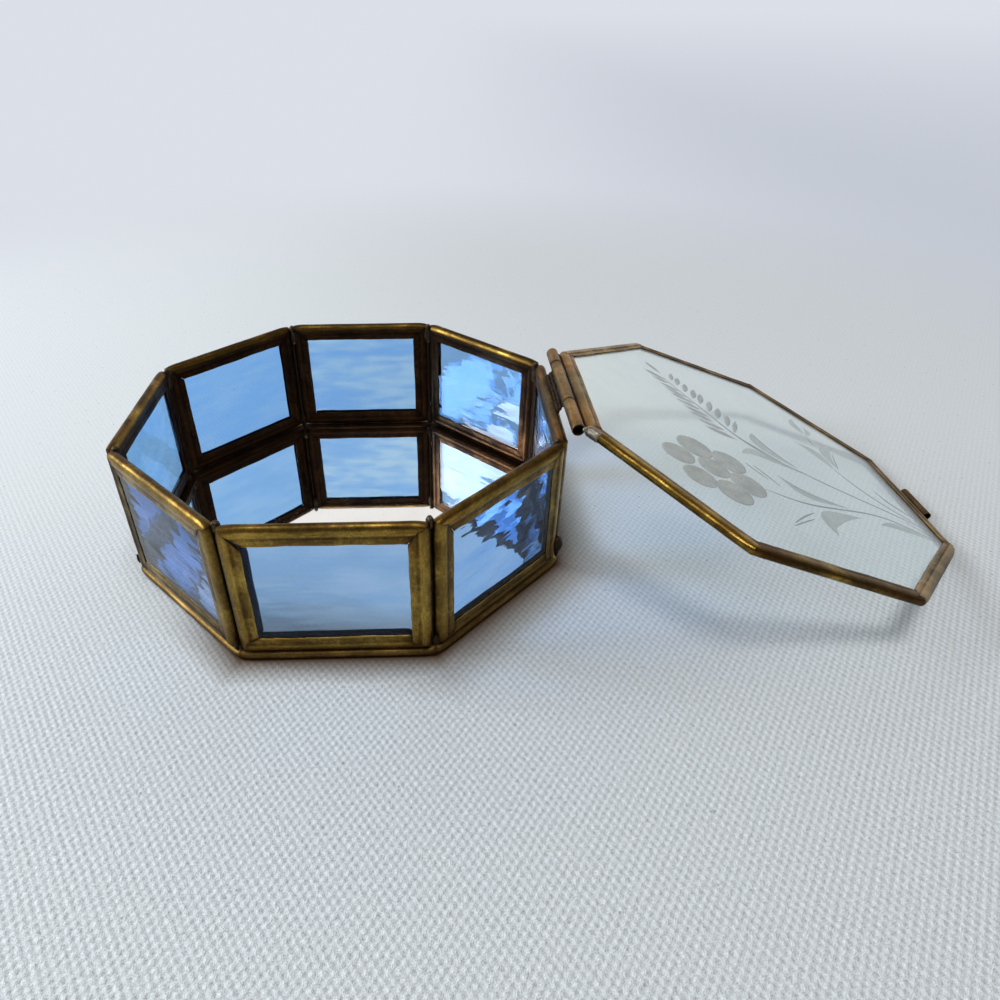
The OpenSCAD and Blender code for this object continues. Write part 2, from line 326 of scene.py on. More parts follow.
baseBrass = {
    "Bright": (0.42, 0.265, 0.08, 1), "Tarnish": (0.2, 0.12, 0.035, 1), "Stain": (0.05, 0.022, 0.008, 1),
    "Tarnish_Share": 0.6, "Stain_Share": 0.45, "Shine": 0.32, "Dents": 0.3,
}


def plainMetal(name, finish):
    material, tree, shader = newMaterial(name)
    got = place(tree, agedMetal, **finish)
    feed(tree, shader, Base_Color=got["Color"], Roughness=got["Roughness"], Normal=got["Normal"], Metallic=1.0)
    return material


def wallMetal(name, outer, inner):
    # one finish outside and another, much darker, on the faces inside the box: partly darkened by flux and heat,
    # partly a painted dark reflection
    material, tree, shader = newMaterial(name)
    out = place(tree, agedMetal, **outer)
    within = place(tree, agedMetal, **inner)
    where = place(tree, boxSides)
    # the rim's round web stays brass to its top
    belowRim = spread(tree, where["Height"], 0.0372, 0.038, 1.0, 0.0)
    share = times(tree, spread(tree, where["Inside"], 0.5, 0.8), belowRim)
    colour = blendColour(tree, share, out["Color"], within["Color"])
    rough = node(tree, "ShaderNodeMix", data_type="FLOAT")
    feed(tree, rough, n0=share, n2=out["Roughness"], n3=within["Roughness"])
    feed(tree, shader, Base_Color=colour, Roughness=rough.outputs[0], Normal=out["Normal"], Metallic=1.0)
    return material


brassWall = wallMetal("brassWall", outerBrass, innerBrass)
brassBase = wallMetal("brassBase", baseBrass, innerBrass)
brassLid = plainMetal("brassLid", outerBrass)
brassTube = plainMetal("brassTube", tubeBrass)

# glass: each pane's waves, streaks and film differ, as hand-cut offcuts do
blueTint = (0.25, 0.5, 0.9)
clearTint = (0.86, 0.93, 0.91)
panes = {
    "right": {"Depth": 0.5, "Streak": 0.3, "Film": 0.3},
    "back_right": {"Depth": 0.9, "Streak": 0.45, "Film": 0.3},
    "back": {"Depth": 0.3, "Streak": 0.12, "Film": 0.75,
             "Clear": (0.26, 0.53, 1.0, 1), "Filmed": (0.52, 0.78, 1.0, 1)},
    "back_left": {"Depth": 0.25, "Streak": 0.06, "Film": 0.4,
                  "Clear": (0.25, 0.53, 1.0, 1), "Filmed": (0.4, 0.66, 1.0, 1)},
    "left": {"Depth": 0.35, "Streak": 0.15, "Film": 0.4,
             "Clear": (0.26, 0.56, 1.0, 1), "Filmed": (0.42, 0.68, 1.0, 1)},
    "front_left": {"Depth": 0.6, "Streak": 0.35, "Film": 0.75,
                   "Clear": (0.11, 0.24, 0.52, 1), "Filmed": (0.32, 0.5, 0.96, 1)},
    "front": {"Depth": 0.3, "Streak": 0.12, "Film": 0.6, "Grime": 1.0,
              "Clear": (0.24, 0.45, 0.79, 1), "Filmed": (0.36, 0.56, 0.84, 1)},
    "front_right": {"Depth": 1.1, "Streak": 0.3, "Film": 0.4, "Clear": (0.2, 0.44, 0.9, 1)},
}


def sheetGlass(name, tint, **look):
    # lamps and scattered light pass straight through with the sheet's colour; the rest refracts
    material, tree, shader = newMaterial(name)
    got = place(tree, wavyGlass, **look)
    feed(tree, shader, Base_Color=got["Color"], Roughness=0.0, IOR=1.5, Transmission_Weight=1.0,
         Specular_Tint=(0.35, 0.42, 0.6, 1), Normal=got["Normal"])
    through = feed(tree, node(tree, "ShaderNodeBsdfTransparent"), Color=(*[math.sqrt(c) for c in tint], 1))
    path = node(tree, "ShaderNodeLightPath").outputs
    straight = calc(tree, "MAXIMUM", path["Is Shadow Ray"], path["Is Diffuse Ray"])
    surfaceMix(tree, straight, shader, through)
    return material


# mirror and solder
def makeMirror():
    material, tree, shader = newMaterial("mirrorGlass")
    where = onObject(tree)
    haze = spread(tree, cloud(tree, where, 90, 5, 0.6), 0.4, 0.8, 0.0, 0.25)
    specks = cloud(tree, where, 2200, 2, 0.5)
    colour = blendColour(tree, haze, (0.9, 0.91, 0.92, 1), (0.7, 0.7, 0.68, 1))
    feed(tree, shader, Base_Color=colour, Metallic=1.0, Roughness=spread(tree, specks, 0.62, 0.8, 0.02, 0.2))
    return material


def makeSolder(name, bright, tarnish, share, shine):
    return plainMetal(name, {
        "Bright": bright, "Tarnish": tarnish, "Stain": (0.018, 0.011, 0.006, 1),
        "Tarnish_Share": share, "Stain_Share": 0.6, "Shine": shine, "Dents": 0.8})


mirrorGlass = makeMirror()
# painted shade: the soft solder is somewhat darker, and the flux solder on seams, low corners, the drop and the
# hinge much darker, for solder lying in shade
softSolder = makeSolder("softSolder", (0.36, 0.31, 0.23, 1), (0.075, 0.055, 0.035, 1), 0.75, 0.3)
fluxAndShadeSolder = makeSolder("fluxAndShadeSolder", (0.16, 0.12, 0.08, 1), (0.04, 0.027, 0.017, 1), 0.8, 0.4)
brightSolder = makeSolder("brightSolder", (0.5, 0.49, 0.45, 1), (0.2, 0.16, 0.1, 1), 0.5, 0.36)

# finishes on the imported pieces
for i, side in enumerate(sideNames):
    paint(nodes["side_frame_" + side], brassWall)
    paint(nodes["side_glass_" + side], sheetGlass(
        "blueGlass_" + side, blueTint, Wave=55.0, Shift=(0.13 * i, 0.07 * i, 0.11 * i), **panes[side]))
paint(nodes["base_frame"], brassBase)
paint(nodes["lid_frame"], brassLid)
for name in ("box_knuckle", "lid_knuckle_back", "lid_knuckle_front", "hinge_pin", "lift_tab"):
    paint(nodes[name], brassTube)
for name in ("solder_top", "solder_bottom", "box_knuckle_solder", "lid_solder"):
    paint(nodes[name], softSolder)
paint(nodes["base_mirror"], mirrorGlass)
paint(nodes["lid_glass"], sheetGlass(
    "clearGlass", (0.95, 0.98, 0.975), Wave=40.0, Depth=0.12, Streak=0.0, Film=0.25, Shift=(0.4, 0.2, 0.1),
    Clear=(*clearTint, 1), Filmed=(0.78, 0.86, 0.85, 1)))
print("finishes on")

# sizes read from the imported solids, in mm
def boxOf(name):
    low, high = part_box(name)
    return [v / mm for v in low], [v / mm for v in high]


frontLow, frontHigh = boxOf("side_frame_front")
baseLow, baseHigh = boxOf("base_frame")
joint = frame["record"]["behaviour"]["joints"][0]
hingeX, _, hingeZ = [v / mm for v in joint["pos_m"]]
lidTilt = math.radians(20.707)  # how far the open lid slopes down to the table
lidAlong = Vector((math.cos(lidTilt), 0, -math.sin(lidTilt)))
lidUp = Vector((math.sin(lidTilt), 0, math.cos(lidTilt)))
halfCorner = math.radians(22.5)  # half the turn from one side of the octagon to the next


def onLid(u, y, n):
    # u out from the hinge axis along the open lid, n up from the axis across it
    return (Vector((hingeX, y, hingeZ)) + lidAlong * u + lidUp * n) * mm


def onBox(x, y, z):
    # out, along and up from the hinge axis, for what stays on the box
    return Vector((hingeX + x, y, hingeZ + z)) * mm


def onSide(i):
    turn = math.radians(45 * i)
    outward = Vector((math.cos(turn), math.sin(turn), 0))
    along = Vector((-math.sin(turn), math.cos(turn), 0))
    middle = -frontLow[1] - sidePanel["thick"] / 2
    height = (frontLow[2] + frontHigh[2]) / 2

    def put(a, b, w):
        return (outward * (middle + w) + along * a + Vector((0, 0, height + b))) * mm
    return put


def meshPiece(name, mesh, material, body, slot, *replaced):
    obj = bpy.data.objects.new(name, mesh)
    bpy.context.scene.collection.objects.link(obj)
    mesh.materials.clear()
    mesh.materials.append(material)
    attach(obj, body)
    if replaced:
        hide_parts(*replaced)


def loft(bm, rows):
    # a skin from each closed row of points to the next
    for a, b in zip(rows, rows[1:]):
        for j in range(len(a)):
            after = (j + 1) % len(a)
            bm.faces.new((a[j], a[after], b[after], b[j]))


def smoothMesh(bm, name, sharpFrom):
    bmesh.ops.recalc_face_normals(bm, faces=bm.faces)
    mesh = bpy.data.meshes.new(name)
    bm.to_mesh(mesh)
    bm.free()
    mesh.shade_smooth()
    mesh.set_sharp_from_angle(angle=math.radians(sharpFrom))
    return mesh


# folded strips
noise.seed_set(1)  # unseeded, the strips' dents and waves would start from the clock
sidePanel = {
    "wide": frontHigh[0] - frontLow[0], "high": frontHigh[2] - frontLow[2], "thick": frontHigh[1] - frontLow[1],
    "face": 4.9, "glass": 2.5, "strip": 0.17, "web": 2.3, "round": 0.75, "roundReach": 4.2,
    "curl": 0.16, "dent": 0.07, "wave": 0.16, "crestDarkReflection": 0.85, "cutSide": 1, "navyShade": 1.0,
}
basePlate = {
    "thick": baseHigh[2] - baseLow[2], "face": 4.8, "glass": 1.6, "strip": 0.22, "web": 1.7,
    "round": 0.5, "roundReach": 3.0, "curl": 0.05, "dent": 0.05, "wave": 0.12, "crestDarkReflection": 0.6,
    "cutSide": 1, "navyShade": 0.0,
}
lidPlate = {
    "apothem": 56.8, "middle": 0.5, "thick": 2.7, "face": 4.0, "glass": 1.9, "strip": 0.22, "web": 2.35,
    "round": 0.45, "roundReach": 3.0, "curl": 0.08, "dent": 0.06, "wave": 0.14, "crestDarkReflection": 0.35,
    "cutSide": -1, "navyShade": 0.0,
}
# what every fold does, in mm: a reach is how fast it fades away from the fold
folding = {
    "slack": 0.03,  # to the solid's outline outside and to the glass inside
    "seamGap": 0.02, "insideBox": 0.004, "curlReach": 1.5, "backCurl": 0.5, "lapLift": 0.06, "lapReach": 3,
    "flangeDirtAndShade": 0.7, "webDirtAndShade": 0.5, "endRub": 0.15, "heatFrom": 0.3, "heatOver": 0.35, "heatStray": 0.25,
    "broadDents": 0.16, "smallDents": 0.55, "near": [0, 0.25, 0.6, 1.0, 1.5, 2.1, 2.9, 3.9, 5.1, 6.6], "step": 2.6,
    "sharpFrom": 42,
}


def channelSection(p, slack):
    # ring of (inward, across, rubbed and painted highlight, dirt and painted shade) round the strip's own thickness,
    # from lip over the web to lip, and how many of its points are on the outside
    web, wall, lip = p["web"], p["strip"], p["face"]
    crown = p["thick"] / 2 - slack
    flat = p["glass"] / 2 + slack + wall
    run = lip - 0.5 - web
    # painted highlight on the lip's edge, and painted shade in the dark line where the bead meets the flange
    outer = [(lip, flat - 0.16, 0.6, 0), (lip - 0.03, flat - 0.05, 1, 0), (lip - 0.13, flat, 1, 0),
             (lip - 0.5, flat, 0.1, 0.1), (web + 0.6 * run, flat + 0.01, 0, 0.2), (web + 0.36 * run, flat, 0, 0.75),
             (web + 0.15 * run, flat + 0.75 * (crown - flat), 0.1, 0.5)]
    # painted dark reflection: the web is darkened towards its crest, where it would mirror a dim ceiling
    for a in range(0, 91, 15):
        a = math.radians(a)
        crest = math.sin(a) ** 2
        outer.append((slack + web * (1 - math.sin(a)), crown * math.cos(a), 0.7 * (1 - crest),
                      p["crestDarkReflection"] * crest))
    outer += [(d, -w, rubAndGlint, dirtAndShade) for d, w, rubAndGlint, dirtAndShade in reversed(outer[:-1])]
    # painted shade: every point inside the channel, against the glass, is fully darkened
    inner = []
    for a in (90, 60, 30, 0):
        a = math.radians(a)
        inner.append((slack + wall + (web - wall) * (1 - math.sin(a)), (crown - wall) * math.cos(a), 0, 1))
    inner += [(web + 0.5, flat - wall + 0.02, 0, 1), (lip - 0.3, flat - wall, 0, 1),
              (lip - 0.02, flat - wall + 0.03, 0, 0.9)]
    inner = [(d, -w, rubAndGlint, dirtAndShade) for d, w, rubAndGlint, dirtAndShade in reversed(inner[1:])] + inner
    return outer + inner, len(outer)


def stations(length, near, step):
    # places along an edge, close together near its ends
    left = [-length / 2 + v for v in near]
    right = [length / 2 - v for v in reversed(near)]
    count = max(2, int((right[0] - left[-1]) / step))
    between = [left[-1] + (right[0] - left[-1]) * k / count for k in range(1, count)]
    return left + between + right


def seamDepth(d, lap, lip, h):
    # how far in from the neighbour's edge the seam between the two flanges runs at this depth
    if lap < 0:
        return lip - (lip - d) * (1 + lap)
    return max(h, lip - (lip - d) / max(0.05, 1 - lap)) if lap > 0 else d


def dentsAt(spot, w, seed, f):
    # broad and small dents at a point of the strip
    where = Vector((spot.x, spot.y, w * 0.6))
    return (noise.noise_vector(where * f["broadDents"] + Vector((seed * 7.3, seed * 1.7, 0))),
            noise.noise_vector(where * f["smallDents"] + Vector((0, seed * 3.1, 5))))


def foldStrip(name, p, edges, corner, notches, put, seed, rear=None, tones=None):
    # edges are (direction in degrees, distance from the middle, length); corner is the angle turned at each;
    # notches give, for each corner, the notch's width at the lip, how far each side's lip curls there, and the lap:
    # 0 is a mitre, 1 lets the first side's flange run on to the corner, -1 the second's;
    # rear gives how much wider each edge's hidden flange is, tones how heated its ends are, how dulled its middle
    # and how dark all of it, that darkness partly dirt and partly painted shade and dark reflection
    f = folding
    rear = rear or [0] * len(edges)
    tones = tones or [(0, 0, 0)] * len(edges)
    bm = bmesh.new()
    layers = {key: bm.verts.layers.float.new(key) for key in ("rubbedAndGlint", "dirtAndShade", "heated", "dulled", "navyShade")}
    stripLayer = bm.verts.layers.float_vector.new("stripAt")
    ring, outside = channelSection(p, f["slack"])
    web, lip, h = p["web"], p["face"], p["thick"] / 2
    limit = h - f["insideBox"]
    turned = math.radians(corner)
    half = turned / 2
    caps = tessellate_polygon([[Vector((d, w, 0)) for d, w, rubAndGlint, dirtAndShade in ring]])
    for k, (way, apart, length) in enumerate(edges):
        outward = Vector((math.cos(math.radians(way)), math.sin(math.radians(way))))
        along = Vector((-outward.y, outward.x))
        heat, dull, dark = tones[k]
        rows = []
        for nominal in stations(length, f["near"], f["step"]):
            end = 1 if nominal > 0 else 0
            width, curlHere, curlNext, lap = notches[(k + end) % len(edges)]
            curl = curlNext if end else curlHere
            lap = lap if end else -lap
            row = []
            for j, (d, w, rubAndGlint, dirtAndShade) in enumerate(ring):
                if w < 0 and d > web:
                    d += rear[k] * (d - web) / (lip - web)
                beyond = max(0.0, d - h) / (lip - h)
                flange = min(1.0, beyond)
                cut = w * p["cutSide"] > 0
                notch = beyond * width / 2 / math.cos(half) if cut else 0
                cut = cut and d > h
                partner = seamDepth(d, lap, lip, h) if cut else d
                most = length / 2 - (partner - d * math.cos(turned)) / math.sin(turned) - f["seamGap"] - notch
                s = nominal * most / (length / 2)
                toEnd = most - abs(s)
                # the corner is rounded where the fold pulls the web in
                beside = (length / 2 - abs(s)) * math.sin(turned) + d * math.cos(turned)
                pull = p["round"] * max(0.0, 1 - (d + beside) / p["roundReach"]) ** 2
                sign = 1 if s > 0 else -1
                spot = outward * (apart - d) + along * s
                spot -= (outward * math.cos(half) + along * sign * math.sin(half)) * pull
                shake, small = dentsAt(spot, w, seed, f)
                lift = curl * flange * math.exp(-toEnd / f["curlReach"])
                across = w + p["dent"] * (shake.z + 0.5 * small.z)
                across += (lift if w > 0 else -f["backCurl"] * lift)
                if cut:
                    across += f["lapLift"] * lap * p["cutSide"] * math.exp(-toEnd / f["lapReach"])
                wave = p["wave"] * flange * (shake.x + 0.6 * small.x)
                spot += outward * (wave - 0.5 * p["dent"] * (1 - flange) * (1 + shake.y))
                vert = bm.verts.new(put(spot.x, spot.y, max(-limit, min(limit, across))))
                # painted shade and dirt: the strip darkens towards its ends, in the folds at the corners
                crease = flange * math.exp(-toEnd / f["flangeDirtAndShade"]) + 0.5 * math.exp(-toEnd / f["webDirtAndShade"])
                nearEnd = (abs(s) / (length / 2) - f["heatFrom"] + f["heatStray"] * shake.x) / f["heatOver"]
                nearEnd = min(1.0, max(0.0, nearEnd))
                vert[stripLayer] = Vector((s, w - d, 3 * k + 7 * seed)) * mm
                vert[layers["rubbedAndGlint"]] = max(rubAndGlint, 0.5 * flange * math.exp(-toEnd / f["endRub"]))
                vert[layers["dirtAndShade"]] = min(1.0, dirtAndShade + crease + dark)
                vert[layers["heated"]] = heat * nearEnd
                vert[layers["dulled"]] = dull * (1 - 0.7 * nearEnd)
                vert[layers["navyShade"]] = p["navyShade"] if j >= outside else 0
                row.append(vert)
            rows.append(row)
        loft(bm, rows)
        for three in caps:
            bm.faces.new([rows[0][j] for j in reversed(three)])
            bm.faces.new([rows[-1][j] for j in three])
    return smoothMesh(bm, name, f["sharpFrom"])


def boxEdges(p):
    wide, high = p["wide"], p["high"]
    return [(0, wide / 2, high), (90, high / 2, wide), (180, wide / 2, high), (270, high / 2, wide)]


def eightEdges(apothem):
    return [(45 * k, apothem, 2 * apothem * math.tan(halfCorner)) for k in range(8)]


def sideNotches(i):
    # bottom right, top right, top left, bottom left, each as width, curl of one side, curl of the other, lap
    if sideNames[i] == "front":
        return [(0.15, 0, 0.02, -1), (0.2, 0.14, 0, 0.3), (1.25, 0, 0.16, 0), (0.2, 0.02, 0, -0.5)]
    rng = random.Random(31 + i)
    width = [rng.uniform(0.04, 0.12), rng.uniform(0.06, 0.16), rng.uniform(0.06, 0.16), rng.uniform(0.04, 0.12)]
    curl = [rng.uniform(0.06, 0.16) for _ in range(4)]
    return [(width[0], 0.02, 0.02, -0.9), (width[1], curl[1], 0, 0.4), (width[2], 0, curl[2], -0.4),
            (width[3], 0.02, 0.02, 0.9)]


# the third value of each tone darkens the whole edge, partly as dirt and partly as a painted dark reflection
# right, top, left and bottom edge of each frame
plainRear = (0.1, 0.0, 0.2, 0.0)
plainTones = [(0.15, 0.15, 0)] * 4
rearWidths = {
    "front": (-0.3, 0.1, 1.1, 0.7), "front_right": (0.6, 0.1, 0.2, 0.8), "front_left": (0.2, 0.1, 0.5, 0.3),
}
frameTones = {
    "right": [(0.2, 0.5, 0), (0.85, 0.8, 0), (0.2, 0.5, 0), (0.2, 0.4, 0)],
    "left": [(0.1, 0.1, 0.7), (0.35, 0.1, 0.1), (0.2, 0.1, 0.3), (0.1, 0.1, 0.3)],
    "front_left": [(0.15, 0.15, 0), (0.2, 0.1, 0), (0.1, 0.1, 1.0), (0.15, 0.1, 0.15)],
    "front_right": [(0.1, 0.3, 0), (0.3, 0.1, 0), (0.1, 0.1, 0), (0.1, 0.1, 0.1)],
    "back": [(0.1, 0.1, 0.2), (0.15, 0.15, 0.35), (0.1, 0.1, 0.2), (0.1, 0.1, 0.2)],
    "back_right": [(0.1, 0.1, 0.2), (0.1, 0.1, 0.3), (0.1, 0.1, 0.2), (0.1, 0.1, 0.2)],
    "back_left": [(0.1, 0.1, 0.2), (0.2, 0.1, 0.25), (0.1, 0.1, 0.2), (0.1, 0.1, 0.2)],
}
for i, side in enumerate(sideNames):
    strip = foldStrip("strip_" + side, sidePanel, boxEdges(sidePanel), 90, sideNotches(i), onSide(i), i + 1,
                      rearWidths.get(side, plainRear), frameTones.get(side, plainTones))
    meshPiece("strip_" + side, strip, brassWall, "casket", "brass", "side_frame_" + side)
baseMiddle = (baseLow[2] + baseHigh[2]) / 2
baseNotches = [(w, 0, 0, 0) for w in (0.3, 0.2, 0.5, 0.3, 0.25, 0.6, 0.35, 0.2)]
strip = foldStrip("strip_base", basePlate, eightEdges(-baseLow[1]), 45, baseNotches,
                  lambda a, b, w: Vector((a, b, baseMiddle + w)) * mm, 21)
meshPiece("strip_base", strip, brassBase, "casket", "brass", "base_frame")
lidNotches = [(w, c, 0, lap) for w, c, lap in (
    (0.3, 0.1, 0.4), (0.15, 0.0, -0.3), (0.35, 0.08, 0.45), (0.2, 0.05, -0.4),
    (0.25, 0.02, 0.3), (0.15, 0.06, -0.45), (0.3, 0.0, 0.5), (0.2, 0.05, -0.3))]
# from the hinge side round by the back
# the third value darkens the whole edge, partly as dirt and partly as a painted dark reflection
lidTones = [(0.85, 0.9, 0.05), (0.3, 0.4, 0.15), (0.1, 0.2, 0.75), (0.2, 0.3, 0.5), (0.4, 0.4, 0.4),
            (0.4, 0.55, 0.2), (0.6, 0.0, 0.85), (0.1, 0.0, 0.25)]
strip = foldStrip("strip_lid", lidPlate, eightEdges(lidPlate["apothem"]), 45, lidNotches,
                  lambda a, b, w: onLid(hingeX - a, b, lidPlate["middle"] - w), 33, tones=lidTones)
meshPiece("strip_lid", strip, brassLid, "lid", "brass", "lid_frame")
print("strips folded")

# Geometry Nodes helpers
def newGeometry(name, inputs):
    # tree with a geometry in and out and named inputs for sizes; returns it, its inputs and its output
    tree = bpy.data.node_groups.new(name, "GeometryNodeTree")
    kinds = {"f": "NodeSocketFloat", "i": "NodeSocketInt", "m": "NodeSocketMaterial"}
    tree.interface.new_socket("Geometry", in_out="INPUT", socket_type="NodeSocketGeometry")
    for label, kind in inputs:
        tree.interface.new_socket(label, in_out="INPUT", socket_type=kinds[kind])
    tree.interface.new_socket("Geometry", in_out="OUTPUT", socket_type="NodeSocketGeometry")
    return tree, tree.nodes.new("NodeGroupInput").outputs, tree.nodes.new("NodeGroupOutput")


def finishTree(tree, out, geometry, material):
    smooth = feed(tree, node(tree, "GeometryNodeSetShadeSmooth"), Geometry=geometry)
    real = feed(tree, node(tree, "GeometryNodeRealizeInstances"), Geometry=smooth.outputs[0])
    done = feed(tree, node(tree, "GeometryNodeSetMaterial"), Geometry=real.outputs[0], Material=material)
    feed(tree, out, Geometry=done.outputs[0])


def grown(data, tree, settings):
    # plain mesh that the tree makes from a mesh or a curve
    source = bpy.data.objects.new("source", data)
    bpy.context.scene.collection.objects.link(source)
    modifier = source.modifiers.new("grow", "NODES")
    modifier.node_group = tree
    for item in tree.interface.items_tree:
        if item.in_out == "INPUT" and item.name in settings:
            modifier[item.identifier] = settings[item.name]
    made = bpy.data.meshes.new_from_object(source.evaluated_get(bpy.context.evaluated_depsgraph_get()))
    source.modifiers.clear()
    bpy.data.objects.remove(source)
    return made


def pointCloudMesh(rows):
    # vertices that carry what each repeated shape needs: place, size and turn
    mesh = bpy.data.meshes.new("points")
    mesh.from_pydata([row["at"] for row in rows], [], [])
    for label, kind, key in (("shape size", "FLOAT_VECTOR", "vector"), ("shape turn", "FLOAT", "value")):
        layer = mesh.attributes.new(label, kind, "POINT")
        for entry, row in zip(layer.data, rows):
            setattr(entry, key, row["size"] if key == "vector" else row["turn"])
    return mesh


def pointValue(tree, name, kind):
    made = node(tree, "GeometryNodeInputNamedAttribute", data_type=kind)
    return feed(tree, made, Name=name).outputs["Attribute"]


def shapeInstances(tree, given, shape):
    # instances of a shape on the points, sized and turned by the points' own values
    about = feed(tree, node(tree, "ShaderNodeCombineXYZ"), Z=pointValue(tree, "shape turn", "FLOAT"))
    euler = feed(tree, node(tree, "FunctionNodeEulerToRotation"), Euler=about.outputs[0])
    placed = feed(tree, node(tree, "GeometryNodeInstanceOnPoints"), Points=given["Geometry"], Instance=shape,
                  Rotation=euler.outputs[0], Scale=pointValue(tree, "shape size", "FLOAT_VECTOR"))
    return feed(tree, node(tree, "GeometryNodeRealizeInstances"), Geometry=placed.outputs[0]).outputs[0]


def pointAt(tree):
    return node(tree, "GeometryNodeInputPosition").outputs[0]


def seededCloud(tree, seed, scale):
    made = node(tree, "ShaderNodeTexNoise", noise_dimensions="4D")
    return feed(tree, made, Vector=pointAt(tree), W=seed, Scale=scale, Detail=2.0).outputs


def shaken(tree, geometry, amount, scale, seed):
    # pushes points about by a noise, so that what cooled freely looks it
    cloudy = seededCloud(tree, seed, scale)["Color"]
    centred = feed(tree, node(tree, "ShaderNodeVectorMath", operation="SUBTRACT"), n0=cloudy, n1=(0.5, 0.5, 0.5))
    scaled = node(tree, "ShaderNodeVectorMath", operation="SCALE")
    feed(tree, scaled, n0=centred.outputs[0], Scale=amount)
    moved = feed(tree, node(tree, "GeometryNodeSetPosition"), Geometry=geometry, Offset=scaled.outputs[0])
    return moved.outputs[0]


def circle(tree, count):
    return feed(tree, node(tree, "GeometryNodeCurvePrimitiveCircle"), Resolution=count, Radius=1.0).outputs[0]


def swept(tree, path, profile, scale):
    made = node(tree, "GeometryNodeCurveToMesh")
    return feed(tree, made, Curve=path, Scale=scale, Fill_Caps=True, Profile_Curve=profile).outputs[0]


def makeLumpTree():
    tree, given, out = newGeometry("solderLumps", [
        ("Rounds", "i"), ("Roughness", "f"), ("Grain", "f"), ("Seed", "f"), ("Material", "m")])
    ball = node(tree, "GeometryNodeMeshIcoSphere")
    feed(tree, ball, Radius=1.0, Subdivisions=given["Rounds"])
    placed = shapeInstances(tree, given, ball.outputs["Mesh"])
    rough = shaken(tree, placed, given["Roughness"], given["Grain"], given["Seed"])
    finishTree(tree, out, rough, given["Material"])
    return tree


def makeSeamTree():
    # a run of solder along each line: a tube whose thickness wanders
    tree, given, out = newGeometry("solderSeams", [
        ("Thickness", "f"), ("Roughness", "f"), ("Grain", "f"), ("Seed", "f"), ("Material", "m")])
    lines = feed(tree, node(tree, "GeometryNodeMeshToCurve"), Mesh=given["Geometry"])
    fine = feed(tree, node(tree, "GeometryNodeResampleCurve"), Curve=lines.outputs[0], Count=60)
    wander = seededCloud(tree, given["Seed"], given["Grain"])["Fac"]
    # thin at both ends
    along = node(tree, "GeometryNodeSplineParameter").outputs["Factor"]
    ends = times(tree, times(tree, along, minus(tree, 1.0, along)), 18.0, True)
    ends = calc(tree, "MAXIMUM", ends, 0.08)
    wide = times(tree, plus(tree, 0.45, times(tree, wander, 1.1)), ends)
    wide = times(tree, wide, given["Thickness"])
    tube = swept(tree, fine.outputs[0], circle(tree, 12), wide)
    rough = shaken(tree, tube, given["Roughness"], given["Grain"], given["Seed"])
    finishTree(tree, out, rough, given["Material"])
    return tree


lumpTree = makeLumpTree()
seamTree = makeSeamTree()

# solder in the corners: lumps between the ends of the webs, and a run down each inner seam; out is measured
# from where the webs' middles meet, and upBy, aside and wider are how far each lump strays
solderWork = {
    "crown": {"out": -1.5, "up": 37.6, "aside": 0.2, "size": (1.15, 0.8, 1.6), "wider": 0.25},
    "underCrown": {"out": -1.9, "up": 35.2, "aside": 0.4, "size": (0.6, 0.9, 2.4), "wider": 0.4},
    "low": {"out": -1.5, "up": 4.6, "aside": 0.2, "size": (0.9, 1.1, 2.4)},
    "outside": {"out": 1.05, "up": 4.4, "upBy": (-0.3, 1.0), "aside": 0.15, "size": (0.45, 0.55, 1.5)},
    # the drop that ran down outside, at the hinge's front corner
    "dropCorner": 7, "drop": {"out": 0.9, "up": 7.2, "size": (1.5, 1.9, 2.3)},
    "lumps": {"Rounds": 3, "Roughness": 0.0009, "Grain": 700.0},
    "seamIn": 1.15, "seamFrom": 2.8, "seamTo": 38.0, "seamThickness": 0.5,
    "seams": {"Roughness": 0.00025, "Grain": 450.0, "Seed": 1.0},
}


def cornerAt(i, radius, z, sideways=0.0):
    turn = math.radians(45 * i + 22.5)
    return (radius * math.cos(turn) - sideways * math.sin(turn),
            radius * math.sin(turn) + sideways * math.cos(turn), z), turn


def cornerLump(i, radius, lump, rng):
    # what strays is drawn in this order: up, aside, wider
    up = lump["up"] + (rng.uniform(*lump["upBy"]) if "upBy" in lump else 0)
    aside = rng.uniform(-lump["aside"], lump["aside"]) if "aside" in lump else 0.0
    deep, wide, high = lump["size"]
    wide += rng.uniform(0, lump["wider"]) if "wider" in lump else 0
    at, turn = cornerAt(i, radius + lump["out"], up, aside)
    return {"at": at, "size": (deep, wide, high), "turn": turn}


def inMetres(rows):
    return [{"at": tuple(v * mm for v in row["at"]), "size": tuple(v * mm for v in row["size"]),
             "turn": row["turn"]} for row in rows]


def joined(name, meshes):
    bm = bmesh.new()
    for mesh in meshes:
        bm.from_mesh(mesh)
    whole = bpy.data.meshes.new(name)
    bm.to_mesh(whole)
    bm.free()
    whole.shade_smooth()
    return whole


def solderPiece(name, rows, material, body, *replaced, **look):
    lumps = grown(pointCloudMesh(rows), lumpTree, {**look, "Material": material})
    meshPiece(name, joined(name, [lumps]), material, body, "solder", *replaced)


